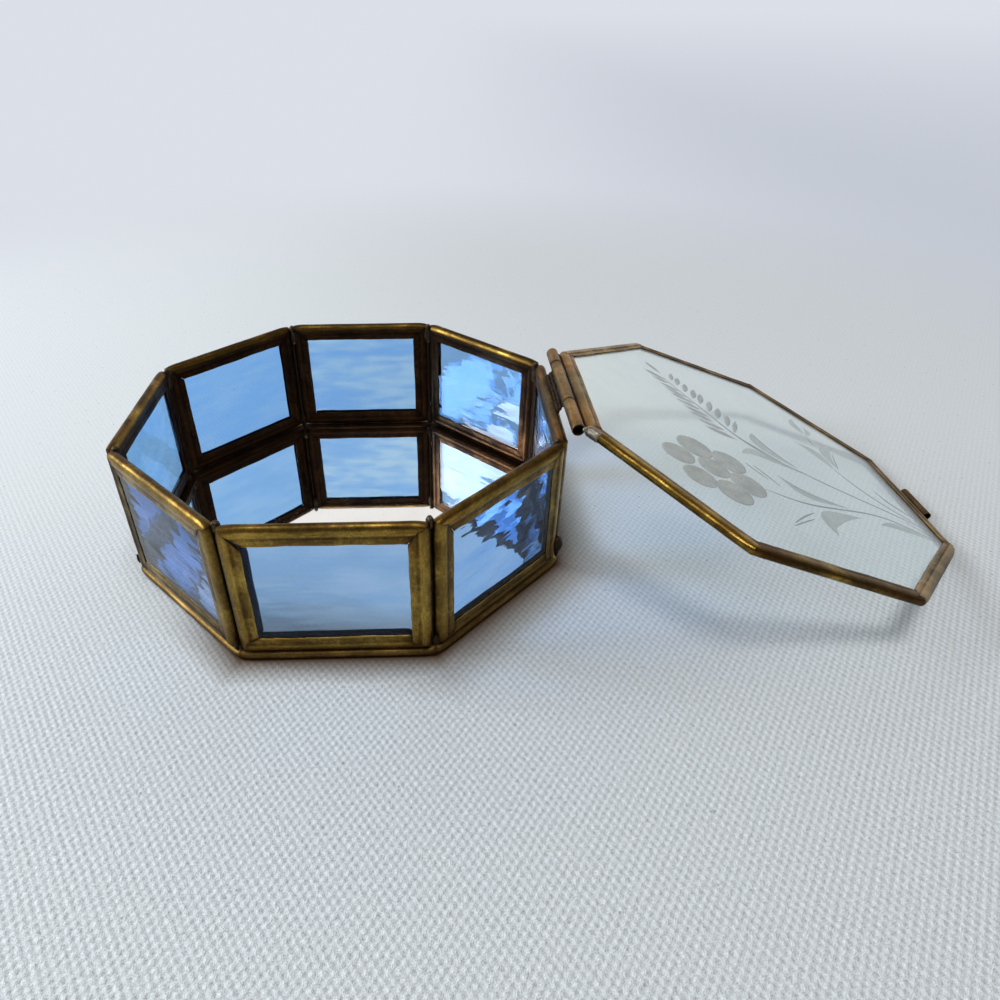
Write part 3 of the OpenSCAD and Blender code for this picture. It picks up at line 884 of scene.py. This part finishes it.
def makeCornerSolder(p):
    rng = random.Random(8)
    cornerR = (-baseLow[1] - sidePanel["thick"] / 2) / math.cos(halfCorner)
    seamR = cornerR - p["seamIn"] / math.cos(halfCorner)
    top, low, ends = [], [], []
    for i in range(8):
        top += [cornerLump(i, cornerR, p[key], rng) for key in ("crown", "underCrown")]
        low += [cornerLump(i, cornerR, p[key], rng) for key in ("low", "outside")]
        ends += [cornerAt(i, seamR, p[key])[0] for key in ("seamFrom", "seamTo")]
    low.append(cornerLump(p["dropCorner"], cornerR, p["drop"], rng))
    solderPiece("solder_corners_top", inMetres(top), softSolder, "casket", "solder_top", Seed=2.0, **p["lumps"])
    solderPiece("solder_corners_low", inMetres(low), fluxAndShadeSolder, "casket", "solder_bottom", Seed=5.0, **p["lumps"])
    wire = bpy.data.meshes.new("seamLines")
    wire.from_pydata([tuple(v * mm for v in end) for end in ends], [(k, k + 1) for k in range(0, len(ends), 2)], [])
    seams = grown(wire, seamTree, {**p["seams"], "Thickness": p["seamThickness"] * mm, "Material": fluxAndShadeSolder})
    meshPiece("solder_seams", joined("solder_seams", [seams]), fluxAndShadeSolder, "casket", "solder")


makeCornerSolder(solderWork)
print("corners soldered")

# hinge and tab: thin rolled tubes, and the solder that holds them
_, tubeHigh = boxOf("box_knuckle")
tubeWork = {
    "radius": tubeHigh[2] - hingeZ, "wall": 0.28, "steps": 40, "outOfRound": 0.035, "ring": 1.1,
    "edges": (0.06, 0.3), "filed": 0.07, "drawnIn": 0.19, "boreFlare": 0.04, "sharpFrom": 50,
    "rimRub": 0.12, "freeDirt": 0.5, "jointDirtAndShade": 0.4,
    "tabRadius": 1.25, "tabAt": (116.9, 1.0), "tabHalf": 6.5,
}
# runs of small lumps, each as across and up from the axis, how far it stops short of the ends, step and size
hingeSolder = {
    "lumps": {"Rounds": 2, "Roughness": 0.0007, "Grain": 800.0},
    "stray": 0.1, "grow": (0.75, 1.15),
    "box": [(-2.35, -2.95, 1, 1.0, (0.55, 0.9, 0.85)), (-1.75, -2.1, 1, 1.0, (0.5, 0.9, 0.85)),
            (-1.2, -1.35, 1, 1.0, (0.4, 0.9, 0.6))],
    "lid": (1.85, 0.25, 0.8, 0.8, (0.35, 0.7, 0.5)),
    "tab": (tubeWork["tabAt"][0] - tubeWork["tabRadius"] - 0.05, 0.75, 1, 0.8, (0.3, 0.7, 0.45)),
    # the smear over the strip beside the hollow end of the hinge, and the blob that joins it to the tube
    "smearIn": 1.35, "smearFrom": 0.1, "smearStep": 0.35, "smearCount": 8, "smearOver": 0.05, "smearTaper": 0.004,
    "blobAt": (1.5, -22.9, 0.7), "blobSize": (0.8, 0.65, 0.7), "blobTurn": 0.3,
    "smear": {"Rounds": 3, "Roughness": 0.00022, "Grain": 600.0, "Seed": 9.0},
}


def rolledTube(name, put, low, high, radius, p, seed, tone, free):
    # put takes across, along and up in mm; a free end is filed, with a bright rim, one at a joint is dark with
    # painted shade from the gap;
    # tone is how heated, dulled and dark it is
    bm = bmesh.new()
    layers = {key: bm.verts.layers.float.new(key) for key in ("rubbedAndGlint", "dirtAndShade", "heated", "dulled")}
    stripLayer = bm.verts.layers.float_vector.new("stripAt")
    length = high - low
    count = max(6, int(length / p["ring"]))
    rim, shoulder = p["edges"]
    along = [low, low + rim, low + shoulder] + [low + length * k / count for k in range(1, count)]
    along += [high - shoulder, high - rim, high]
    filed = [0] * len(along)
    filed[0], filed[-1] = [p["filed"] if end else p["drawnIn"] for end in free]
    outer = [(v, radius - off) for v, off in zip(along, filed)]
    inner = [(v, radius - p["wall"] + (p["boreFlare"] if off else 0)) for v, off in zip(along, filed)]
    rows = []
    for side, (v, r) in [(1, row) for row in outer] + [(-1, row) for row in reversed(inner)]:
        row = []
        for j in range(p["steps"]):
            a = 2 * math.pi * j / p["steps"]
            shake = noise.noise(Vector((math.cos(a) * 0.7, math.sin(a) * 0.7, v * 0.22 + seed * 9)))
            here = r - p["outOfRound"] * (1 + shake)
            vert = bm.verts.new(put(here * math.cos(a), v, here * math.sin(a)))
            vert[stripLayer] = Vector((v, here * math.cos(a), here * math.sin(a) + 11 * seed)) * mm
            toEnd, isFree = min((v - low, free[0]), (high - v, free[1]))
            vert[layers["rubbedAndGlint"]] = 0.9 * math.exp(-toEnd / p["rimRub"]) if side > 0 and isFree else 0
            # painted shade: darker towards a joint with the next tube, and the bore inside fully dark
            seam = 0.35 * math.exp(-toEnd / p["freeDirt"]) if isFree else math.exp(-toEnd / p["jointDirtAndShade"])
            vert[layers["dirtAndShade"]] = min(1.0, seam + tone[2]) if side > 0 else 1
            vert[layers["heated"]] = tone[0] * (0.6 + 0.6 * shake)
            vert[layers["dulled"]] = tone[1] * (0.6 - 0.6 * shake)
            row.append(vert)
        rows.append(row)
    loft(bm, rows + rows[:1])
    return smoothMesh(bm, name, p["sharpFrom"])


def solderRun(put, low, high, run, p, rng):
    # overlapping lumps along the hinge's direction, between two places on it
    x, z, short, step, size = run
    start, end = Vector((x, low + short, z)), Vector((x, high - short, z))
    count = max(1, int((end - start).length / step))
    rows = []
    for k in range(count + 1):
        at = start.lerp(end, k / count) + Vector([rng.uniform(-p["stray"], p["stray"]) for _ in range(3)])
        grow = rng.uniform(*p["grow"])
        rows.append({"at": put(*at), "size": tuple(v * grow * mm for v in size), "turn": 0.0})
    return rows


def makeHinge(p):
    def byTab(u, y, n):
        return onLid(p["tabAt"][0] + u, y, p["tabAt"][1] + n)
    for name, body, put, seed, tone, free in (
            ("box_knuckle", "casket", onBox, 1, (0.35, 0.5, 0.1), (False, False)),
            ("lid_knuckle_back", "lid", onLid, 2, (0.6, 0.3, 0), (False, True)),
            ("lid_knuckle_front", "lid", onLid, 3, (0.75, 0.25, 0), (True, False))):
        low, high = boxOf(name)
        tube = rolledTube("rolled_" + name, put, low[1], high[1], p["radius"], p, seed, tone, free)
        meshPiece("rolled_" + name, tube, brassTube, body, "brass", name)
    tube = rolledTube("rolled_tab", byTab, -p["tabHalf"], p["tabHalf"], p["tabRadius"], p, 4, (0.3, 0.5, 0.4),
                      (True, True))
    meshPiece("rolled_tab", tube, brassTube, "lid", "brass", "lift_tab")


def solderHinge(p):
    rng = random.Random(12)
    low, high = boxOf("box_knuckle_solder")
    rows = []
    for run in p["box"]:
        rows += solderRun(onBox, low[1], high[1], run, p, rng)
    solderPiece("solder_box_knuckle", rows, fluxAndShadeSolder, "casket", "box_knuckle_solder", Seed=3.0, **p["lumps"])
    rows = []
    for name in ("lid_knuckle_back", "lid_knuckle_front"):
        low, high = boxOf(name)
        rows += solderRun(onLid, low[1], high[1], p["lid"], p, rng)
    rows += solderRun(onLid, -tubeWork["tabHalf"], tubeWork["tabHalf"], p["tab"], p, rng)
    solderPiece("solder_lid_tubes", rows, fluxAndShadeSolder, "lid", "lid_solder", Seed=6.0, **p["lumps"])
    lean = math.sqrt(0.5)
    inward = p["smearIn"] * lean
    startX = hingeX - lidPlate["apothem"] + inward
    startY = -lidPlate["apothem"] * math.tan(halfCorner) + inward
    rows = []
    for k in range(p["smearCount"]):
        far = p["smearFrom"] + p["smearStep"] * k
        wide = p["smearIn"] + p["smearOver"] - p["smearTaper"] * k
        rows.append({"at": onLid(startX + far * lean, startY - far * lean, lidPlate["middle"]),
                     "size": (wide * mm,) * 3, "turn": 0.0})
    rows.append({"at": onLid(*p["blobAt"]), "size": tuple(v * mm for v in p["blobSize"]), "turn": p["blobTurn"]})
    solderPiece("solder_lid_smear", rows, brightSolder, "lid", **p["smear"])


makeHinge(tubeWork)
solderHinge(hingeSolder)
print("hinge rolled and soldered")

# wheel-cut spray in the lid's outer face: shallow grooves with a frosted skin
def hollowed(tree, height, given):
    # the upper half of a profile stays; the lower half is turned up by the share that is hollow
    below = times(tree, calc(tree, "MINIMUM", height, 0.0), times(tree, given["Hollow"], -1.0))
    return plus(tree, calc(tree, "MAXIMUM", height, 0.0), below)


def makeGrainTree():
    # a lens-shaped groove at each point; Pointed turns the round lens into a grain with sharp ends
    tree, given, out = newGeometry("wheelGrains", [("Pointed", "f"), ("Hollow", "f"), ("Material", "m")])
    ball = feed(tree, node(tree, "GeometryNodeMeshUVSphere"), Segments=24, Rings=10, Radius=1.0)
    x, y, z = axes(tree, pointAt(tree))
    taper = calc(tree, "SQRT", calc(tree, "MAXIMUM", minus(tree, 1.0, times(tree, x, x)), 0.0))
    mix = feed(tree, node(tree, "ShaderNodeMix", data_type="FLOAT"), n0=given["Pointed"], n2=1.0, n3=taper)
    spot = feed(tree, node(tree, "ShaderNodeCombineXYZ"), X=x, Y=times(tree, y, mix.outputs[0]),
                Z=hollowed(tree, z, given))
    lens = feed(tree, node(tree, "GeometryNodeSetPosition"), Geometry=ball.outputs["Mesh"], Position=spot.outputs[0])
    finishTree(tree, out, shapeInstances(tree, given, lens.outputs[0]), given["Material"])
    return tree


def makeStrokeTree():
    # a groove along each curve, as wide as the curve's radius there
    tree, given, out = newGeometry("wheelStrokes", [
        ("Depth", "f"), ("Hollow", "f"), ("Count", "i"), ("Material", "m")])
    fine = feed(tree, node(tree, "GeometryNodeResampleCurve"), Curve=given["Geometry"], Count=given["Count"])
    flat = feed(tree, node(tree, "GeometryNodeSetCurveNormal", mode="Z_UP"), Curve=fine.outputs[0])
    x, y, _ = axes(tree, pointAt(tree))
    spot = feed(tree, node(tree, "ShaderNodeCombineXYZ"), X=x,
                Y=times(tree, hollowed(tree, y, given), given["Depth"]))
    groove = feed(tree, node(tree, "GeometryNodeSetPosition"), Geometry=circle(tree, 14), Position=spot.outputs[0])
    radius = node(tree, "GeometryNodeInputRadius").outputs[0]
    tube = swept(tree, flat.outputs[0], groove.outputs[0], radius)
    finishTree(tree, out, tube, given["Material"])
    return tree


def makeFrosted(name, light, dark):
    # ground glass: pale grey, finely scored along the cut
    material, tree, shader = newMaterial(name)
    where = onObject(tree)
    score = cloud(tree, stretched(tree, where, (2.2, 0.35, 1)), 2600, 3, 0.6)
    shade = weighed(tree, (score, 0.55), (cloud(tree, where, 260, 3, 0.5), 0.45))
    colour = blendColour(tree, spread(tree, shade, 0.35, 0.65), dark, light)
    feed(tree, shader, Base_Color=colour, Roughness=0.55, Normal=bumped(tree, 0.5, 0.00005, score))
    # ground glass scatters light on, so it casts next to no shadow
    through = feed(tree, node(tree, "ShaderNodeBsdfTransparent"), Color=(0.9, 0.92, 0.92, 1))
    surfaceMix(tree, node(tree, "ShaderNodeLightPath").outputs["Is Shadow Ray"], shader, through)
    return material


# places in mm on the lid: u out from the hinge, y along it
spray = {
    "face": -0.45, "skin": 0.02, "discDepth": 0.2, "grainDepth": 0.2, "grainWider": 1.25, "hollow": 0.72,
    "stemThinner": 0.85,
    "discs": [(35.8, -11.9, 5.3), (45.3, -14.5, 5.1), (28.7, -18.9, 4.7), (38.6, -20.7, 4.6), (47.4, -24.4, 5.2),
              (31.9, -28.2, 4.7), (40.8, -31, 5.1)],
    # pairs of ends and half-width
    "grains": [
        ((35.4, 42.2), (39.6, 35.7), 0.85),
        ((44.4, 39.3), (42.4, 32.7), 0.75), ((46.2, 37.2), (43.8, 30.3), 0.8), ((48, 34.2), (45.4, 26.6), 0.85),
        ((50.3, 31.7), (47.3, 23.5), 0.9), ((52.2, 29.8), (48.8, 20.7), 0.9), ((54.3, 26.4), (50.8, 17.3), 0.9),
        ((56.2, 22.9), (52.5, 13.9), 0.9), ((58.2, 19.9), (54.5, 10.1), 0.85), ((60, 17), (55.6, 7), 0.7),
        ((33.1, 35), (40, 31.2), 1.0), ((34.8, 30.8), (41, 29.4), 0.75), ((36.4, 27.7), (43.1, 25.4), 0.85),
        ((37.5, 24.9), (44.9, 22.4), 0.85), ((38.6, 22), (46.7, 19.3), 0.9), ((39.6, 18.7), (47.7, 16.2), 0.95),
        ((41.1, 15.3), (48.8, 12.8), 0.95), ((42.1, 12.2), (49.9, 10), 1.0), ((43.9, 8.5), (52.4, 6.6), 1.1),
        ((44.6, 5.2), (54.9, 2.8), 1.1),
    ],
    # leaves and petals as (u, y, half-width) along their middle
    "leaves": [
        [(63.3, 11.4, 0.1), (62.4, 8.6, 1.2), (62.8, 5.6, 2.0), (64.6, 2.4, 1.9), (67.9, -0.3, 1.0),
         (72.4, -3.1, 0.12)],
        [(53.2, -5.5, 0.1), (55.5, -3.3, 1.1), (58.4, -2, 2.0), (62.3, -2.4, 1.8), (66.9, -3.9, 1.0),
         (72.8, -5.1, 0.15)],
        [(61.9, -12.9, 0.1), (64, -16.3, 0.9), (66.6, -18.3, 1.6), (70.3, -19.3, 1.6), (74.8, -19.3, 0.9),
         (81, -19, 0.12)],
        [(83.8, -22.3, 0.1), (79.3, -23.8, 1.0), (74.8, -25.7, 2.1), (71.2, -27.7, 2.9), (69.2, -30.4, 2.3),
         (68.6, -33.3, 1.2), (68.8, -36.5, 0.1)],
        [(90.5, -22.5, 0.1), (93.7, -20.9, 1.0), (97.6, -20.1, 1.6), (102.6, -20.5, 1.2), (109.5, -21.7, 0.15)],
        [(81.1, 17.1, 0.1), (84.2, 15.8, 1.1), (87, 13.9, 2.3), (88.6, 11, 1.9), (89.4, 8, 0.9),
         (89.9, 5.3, 0.12)],
        [(98.8, 22, 0.1), (95.9, 20.4, 1.0), (93.4, 18.3, 1.9), (92.1, 15.3, 2.0), (91.8, 11.9, 1.3),
         (92, 8.5, 0.6), (92.3, 6.5, 0.1)],
        [(89.6, 25.7, 0.1), (88.2, 28.7, 1.1), (87.8, 31.8, 1.5), (88.9, 34.9, 0.9), (90.1, 36.7, 0.1)],
        [(90.3, 26, 0.1), (91.9, 27.8, 1.1), (93, 30.1, 1.1), (92.3, 32.8, 0.15)],
    ],
    # stems
    "stems": [
        [(39.6, 33.3, 0.25), (43.1, 26.5, 0.35), (46.7, 20.3, 0.4), (50.3, 14.2, 0.4), (54.5, 7, 0.4),
         (58.1, 2.6, 0.4), (63.7, -1.5, 0.4), (68, -3.2, 0.35), (72.9, -4.8, 0.4), (77.9, -6.8, 0.4),
         (86.5, -9.4, 0.4), (97.1, -12, 0.4), (107.1, -15, 0.35), (110.1, -16.5, 0.15)],
        [(90.2, 5.2, 0.2), (91.7, 1.8, 0.4), (94.6, -3.1, 0.45), (98.5, -7.5, 0.45), (102.8, -11.2, 0.4),
         (107.5, -14.2, 0.2)],
        [(52.9, -23.6, 0.15), (57.5, -24.2, 0.3), (63.1, -24.5, 0.4), (68.8, -23.7, 0.45), (74.4, -22.1, 0.4),
         (80.2, -20.4, 0.4), (86.5, -18.5, 0.4), (92.2, -17.5, 0.4), (97.1, -17.4, 0.4), (102.8, -18.9, 0.35),
         (110.5, -21.2, 0.15)],
        [(89.9, 25.3, 0.12), (89.6, 22.6, 0.25), (89.9, 19.7, 0.2), (90.4, 17.6, 0.1)],
    ],
    # deeper strokes that show dark
    "dark": [
        [(51.7, 10.7, 0.12), (56.7, 4.6, 0.3), (61.6, 1.2, 0.3), (67.7, -2.8, 0.12)],
        [(63.3, 11.7, 0.1), (64.9, 6.4, 0.4), (67.9, 1.4, 0.45), (72.6, -3, 0.15)],
        [(61.8, -12.6, 0.1), (64.4, -15.4, 0.4), (68.7, -17.5, 0.45), (74.4, -18.6, 0.35), (81.4, -18.9, 0.1)],
        [(66.9, -4.3, 0.15), (70.3, -4.9, 0.35), (73, -5.4, 0.12)],
        [(95.8, 17.2, 0.1), (93.9, 11.9, 0.4), (92.4, 6.6, 0.12)],
        [(89.5, 33.2, 0.1), (89.6, 30.4, 0.35), (90, 27.5, 0.12)],
        [(100.9, -0.5, 0.15), (102.5, -4.8, 0.45), (105.6, -8.4, 0.4), (110.2, -12, 0.1)],
        [(51.9, -11.4, 0.15), (54.5, -14.2, 0.4), (56.7, -17.5, 0.12)],
        [(54.5, -11.1, 0.15), (57, -14.6, 0.4), (59.8, -18.8, 0.12)],
        [(65.6, -28.3, 0.12), (60.7, -31.8, 0.4), (55.8, -36.8, 0.12)],
        [(63.9, -31.8, 0.12), (59.3, -35, 0.35), (54.7, -38.5, 0.12)],
        [(103.1, -15.3, 0.1), (106.9, -17.6, 0.3), (110.5, -20, 0.12)],
    ],
}


def strokeCurves(strokes, wider=1.0):
    curve = bpy.data.curves.new("strokes", "CURVE")
    curve.dimensions = "3D"
    curve.resolution_u = 8
    for stroke in strokes:
        spline = curve.splines.new("NURBS")
        spline.points.add(len(stroke) - 1)
        spline.order_u = 3
        spline.use_endpoint_u = True
        for point, (u, y, wide) in zip(spline.points, stroke):
            point.co = (u * mm, y * mm, 0, 1)
            point.radius = wide * mm * wider
    return curve


def layInLid(mesh, p):
    # from flat places to the open lid's outer face
    for vert in mesh.vertices:
        u, y, n = (v / mm for v in vert.co)
        vert.co = onLid(u, y, p["face"] + p["skin"] + n)
    mesh.update()


def cutSpray(p):
    frosted = makeFrosted("frostedCut", (0.43, 0.465, 0.46, 1), (0.26, 0.29, 0.29, 1))
    deep = makeFrosted("deepCut", (0.16, 0.175, 0.18, 1), (0.07, 0.08, 0.085, 1))
    grainTree, strokeTree = makeGrainTree(), makeStrokeTree()
    discs = [{"at": (u, y, 0), "size": (r, r, p["discDepth"]), "turn": 0.0} for u, y, r in p["discs"]]
    grains = []
    for (u0, y0), (u1, y1), wide in p["grains"]:
        size = (math.hypot(u1 - u0, y1 - y0) / 2, wide * p["grainWider"], p["grainDepth"])
        grains.append({"at": ((u0 + u1) / 2, (y0 + y1) / 2, 0), "size": size, "turn": math.atan2(y1 - y0, u1 - u0)})
    pale = {"Hollow": p["hollow"], "Material": frosted}
    dark = {"Hollow": p["hollow"], "Material": deep}
    cuts = joined("cut_spray", [
        grown(pointCloudMesh(inMetres(discs)), grainTree, {**pale, "Pointed": 0.0}),
        grown(pointCloudMesh(inMetres(grains)), grainTree, {**pale, "Pointed": 1.0}),
        grown(strokeCurves(p["leaves"]), strokeTree, {**pale, "Depth": 0.1, "Count": 40})])
    strokes = joined("cut_strokes", [
        grown(strokeCurves(p["dark"]), strokeTree, {**dark, "Depth": 0.6, "Count": 30}),
        grown(strokeCurves(p["stems"], p["stemThinner"]), strokeTree, {**dark, "Depth": 0.4, "Count": 70})])
    for name, mesh, material in (("cut_spray", cuts, frosted), ("cut_strokes", strokes, deep)):
        layInLid(mesh, p)
        meshPiece(name, mesh, material, "lid", "clear_glass")


cutSpray(spray)
print("spray cut")

# cloth under the box: places in metres, ranges as from, to and the values there
cloth = {
    "size": 80, "colour": (0.66, 0.71, 0.75, 1), "tone": (0.3, 0.7, 0.97, 1.02),
    # the weave: radians per metre, how far the rows wander, how strong the regular part is
    "across": 3550, "along": 2450, "drift": 1.6, "regular": 0.36, "mean": 2.3,
    "falling": (-0.09, 0.03, 0.6, 1.0), "clear": (-0.1, 0.07, 1.35, 0.2), "depth": (-0.1, 0.1, 0.28, 0.19),
    "pits": 700.0, "pitSize": (0.14, 0.26, 1.0, 0.0), "pitFrom": 0.87, "pit": (0.2, 0.21, 0.23, 1),
    # brown shade close to the base
    "contact": (0.09, 0.045, 0.015, 1), "contactFrom": 0.0565, "contactTo": 0.065, "contactWide": 0.0725,
    "nearShade": (0.0, 0.045), "wideShade": (0.005, 0.035), "windowSideLight": (-0.13, 0.09, 1.09, 0.99),
    "roomFrom": (0.2, 0.48), "roomRight": (-0.05, 0.42), "roomFar": (-1.2, 2.4, 1.0, 0.0),
}
# the room: ranges of a direction's part, sideways, ahead or up
room = {
    "far": (0.71, 0.74, 0.81, 1), "farRight": (0.54, 0.575, 0.645, 1), "pale": (0.7, 0.73, 0.78, 1),
    "backWall": (0.96, 0.92, 0.87, 1), "leftWall": (0.5, 0.56, 0.64, 1), "dim": (0.11, 0.1, 0.09, 1),
    "ahead": (0.15, 0.55), "leftward": (-0.85, -0.35, 1.0, 0.0), "wallTop": (0.6, 0.75, 1.0, 0.0),
    "glow": (0.93, 0.9, 0.86, 1), "glowAt": (0.06, 0.83, 0.56), "glowEdge": (0.94, 0.995), "horizon": (0.06, 0.24),
}
lamps = [
    {"name": "ceilingLamp", "at": (0.1, -0.35, 2.0), "towards": (0.03, 0, 0), "size": 0.75, "watts": 17,
     "colour": (1.0, 0.98, 0.95)},
    {"name": "leftWindow", "at": (-0.95, 0.06, 0.5), "towards": (0, 0, 0), "size": 0.38, "watts": 7.2,
     "colour": (0.93, 0.97, 1.0)},
    # this window is drawn by the world's glow, so its lamp isn't seen again in metal and glass
    {"name": "backWindow", "at": (0.25, 2.2, 1.35), "towards": (0, 0, 0), "size": 0.8, "watts": 1.9,
     "colour": (1.0, 0.97, 0.93), "mirrored": False},
]


def weaveOn(tree, where, x, y, s):
    # raised dots of a woven cloth in staggered rows, uneven
    across = plus(tree, times(tree, x, s["across"]), times(tree, cloud(tree, where, 420, 2), s["drift"]))
    along = times(tree, y, s["along"])
    rising = calc(tree, "SINE", plus(tree, across, along))
    falling = times(tree, calc(tree, "SINE", minus(tree, across, along)), spread(tree, x, *s["falling"]))
    grain = weighed(tree, (cloud(tree, where, 1150, 2), 1.8), (cloud(tree, where, 3100, 1, 0.7), 2.6))
    return plus(tree, times(tree, plus(tree, rising, falling), s["regular"]), grain)


def shadeTo(tree, s, reach, power):
    outward = minus(tree, 1.0, place(tree, boxSides, Outer=s["contactFrom"], Inner=reach)["Inside"], True)
    return calc(tree, "POWER", outward, power)


def makeFloor(s, r):
    mesh = bpy.data.meshes.new("floor")
    half = s["size"] / 2
    mesh.from_pydata([(-half, -half, 0), (half, -half, 0), (half, half, 0), (-half, half, 0)], [], [(0, 1, 2, 3)])
    obj = bpy.data.objects.new("floor", mesh)
    bpy.context.scene.collection.objects.link(obj)
    material, tree, shader = newMaterial("floorCloth")
    where = onObject(tree)
    x, y, _ = axes(tree, where)
    tone = spread(tree, cloud(tree, where, 900, 3, 0.6), *s["tone"])
    colour = blendColour(tree, 1.0, s["colour"], tone, "MULTIPLY")
    weave = weaveOn(tree, where, x, y, s)
    cells = feed(tree, node(tree, "ShaderNodeTexVoronoi"), Vector=where, Scale=s["pits"]).outputs
    pits = times(tree, spread(tree, cells["Distance"], *s["pitSize"]),
                 calc(tree, "GREATER_THAN", cells["Color"], s["pitFrom"]))
    # it shows less and less away from the camera
    clear = spread(tree, y, *s["clear"])
    depth = times(tree, spread(tree, x, *s["depth"]), clear)
    relief = plus(tree, times(tree, minus(tree, weave, s["mean"]), depth), 1.0)
    colour = blendColour(tree, 1.0, colour, relief, "MULTIPLY")
    colour = blendColour(tree, times(tree, pits, 0.5), colour, s["pit"])
    # brown shade close to the base, most of it in front, and wider on the right
    turned = minus(tree, times(tree, x, 0.7), y)
    near = times(tree, shadeTo(tree, s, s["contactTo"], 1.1), spread(tree, turned, *s["nearShade"]))
    wide = times(tree, shadeTo(tree, s, s["contactWide"], 1.7), spread(tree, x, *s["wideShade"]))
    colour = blendColour(tree, calc(tree, "MAXIMUM", near, wide), colour, s["contact"])
    # painted light: the cloth is made lighter on the left, towards the left window, and darker on the right
    colour = blendColour(tree, 1.0, colour, spread(tree, x, *s["windowSideLight"]), "MULTIPLY")
    bump = bumped(tree, times(tree, clear, 0.7), 0.00008, weave)
    feed(tree, shader, Base_Color=colour, Roughness=0.9, Normal=bump, Specular_IOR_Level=0.2)
    # far away the cloth runs out into a pale room, which camera, metal and glass all see; its glow is darker towards
    # the right, a painted falloff of light
    apart = feed(tree, node(tree, "ShaderNodeVectorMath", operation="LENGTH"), n0=where).outputs["Value"]
    path = node(tree, "ShaderNodeLightPath").outputs
    seen = calc(tree, "MAXIMUM", path["Is Glossy Ray"], path["Is Transmission Ray"])
    seen = calc(tree, "MAXIMUM", path["Is Camera Ray"], seen)
    rightward = times(tree, spread(tree, x, *s["roomRight"]),
                      spread(tree, calc(tree, "LOGARITHM", apart, 2.0), *s["roomFar"]))
    pale = feed(tree, node(tree, "ShaderNodeEmission"), Color=blendColour(tree, rightward, r["far"], r["farRight"]),
                Strength=1.0)
    surfaceMix(tree, times(tree, seen, spread(tree, apart, *s["roomFrom"])), shader, pale)
    paint(obj, material)


def makeWorld(r):
    world = bpy.data.worlds.new("studio")
    bpy.context.scene.world = world
    world.use_nodes = True
    tree = world.node_tree
    way = node(tree, "ShaderNodeTexCoord").outputs["Generated"]
    x, y, z = axes(tree, way)
    # a pale wall behind the box up to about 43 degrees, a duller one on the left, the rest dim
    level = calc(tree, "SQRT", minus(tree, 1.0001, times(tree, z, z)))
    ahead = spread(tree, calc(tree, "DIVIDE", y, level), *r["ahead"])
    low = spread(tree, z, *r["wallTop"])
    leftward = spread(tree, calc(tree, "DIVIDE", x, level), *r["leftward"])
    colour = blendColour(tree, times(tree, leftward, low), r["dim"], r["leftWall"])
    colour = blendColour(tree, times(tree, ahead, low), colour, r["backWall"])
    towards = feed(tree, node(tree, "ShaderNodeVectorMath", operation="DOT_PRODUCT"), n0=way, n1=r["glowAt"])
    colour = blendColour(tree, spread(tree, towards.outputs["Value"], *r["glowEdge"]), colour, r["glow"])
    colour = blendColour(tree, spread(tree, z, *r["horizon"]), r["pale"], colour)
    # the camera itself sees one pale backdrop
    cameraRay = node(tree, "ShaderNodeLightPath").outputs["Is Camera Ray"]
    feed(tree, tree.nodes["Background"], Color=blendColour(tree, cameraRay, colour, r["far"]), Strength=1.0)


def makeLamp(name, at, towards, size, watts, colour, mirrored=True):
    data = bpy.data.lights.new(name, "AREA")
    data.shape = "SQUARE"
    data.size = size
    data.energy = watts
    data.color = colour
    obj = bpy.data.objects.new(name, data)
    obj.location = at
    obj.rotation_euler = (Vector(towards) - Vector(at)).to_track_quat("-Z", "Y").to_euler()
    obj.visible_glossy = obj.visible_transmission = mirrored
    bpy.context.scene.collection.objects.link(obj)


makeFloor(cloth, room)
makeWorld(room)
for lamp in lamps:
    makeLamp(**lamp)
print("studio set")
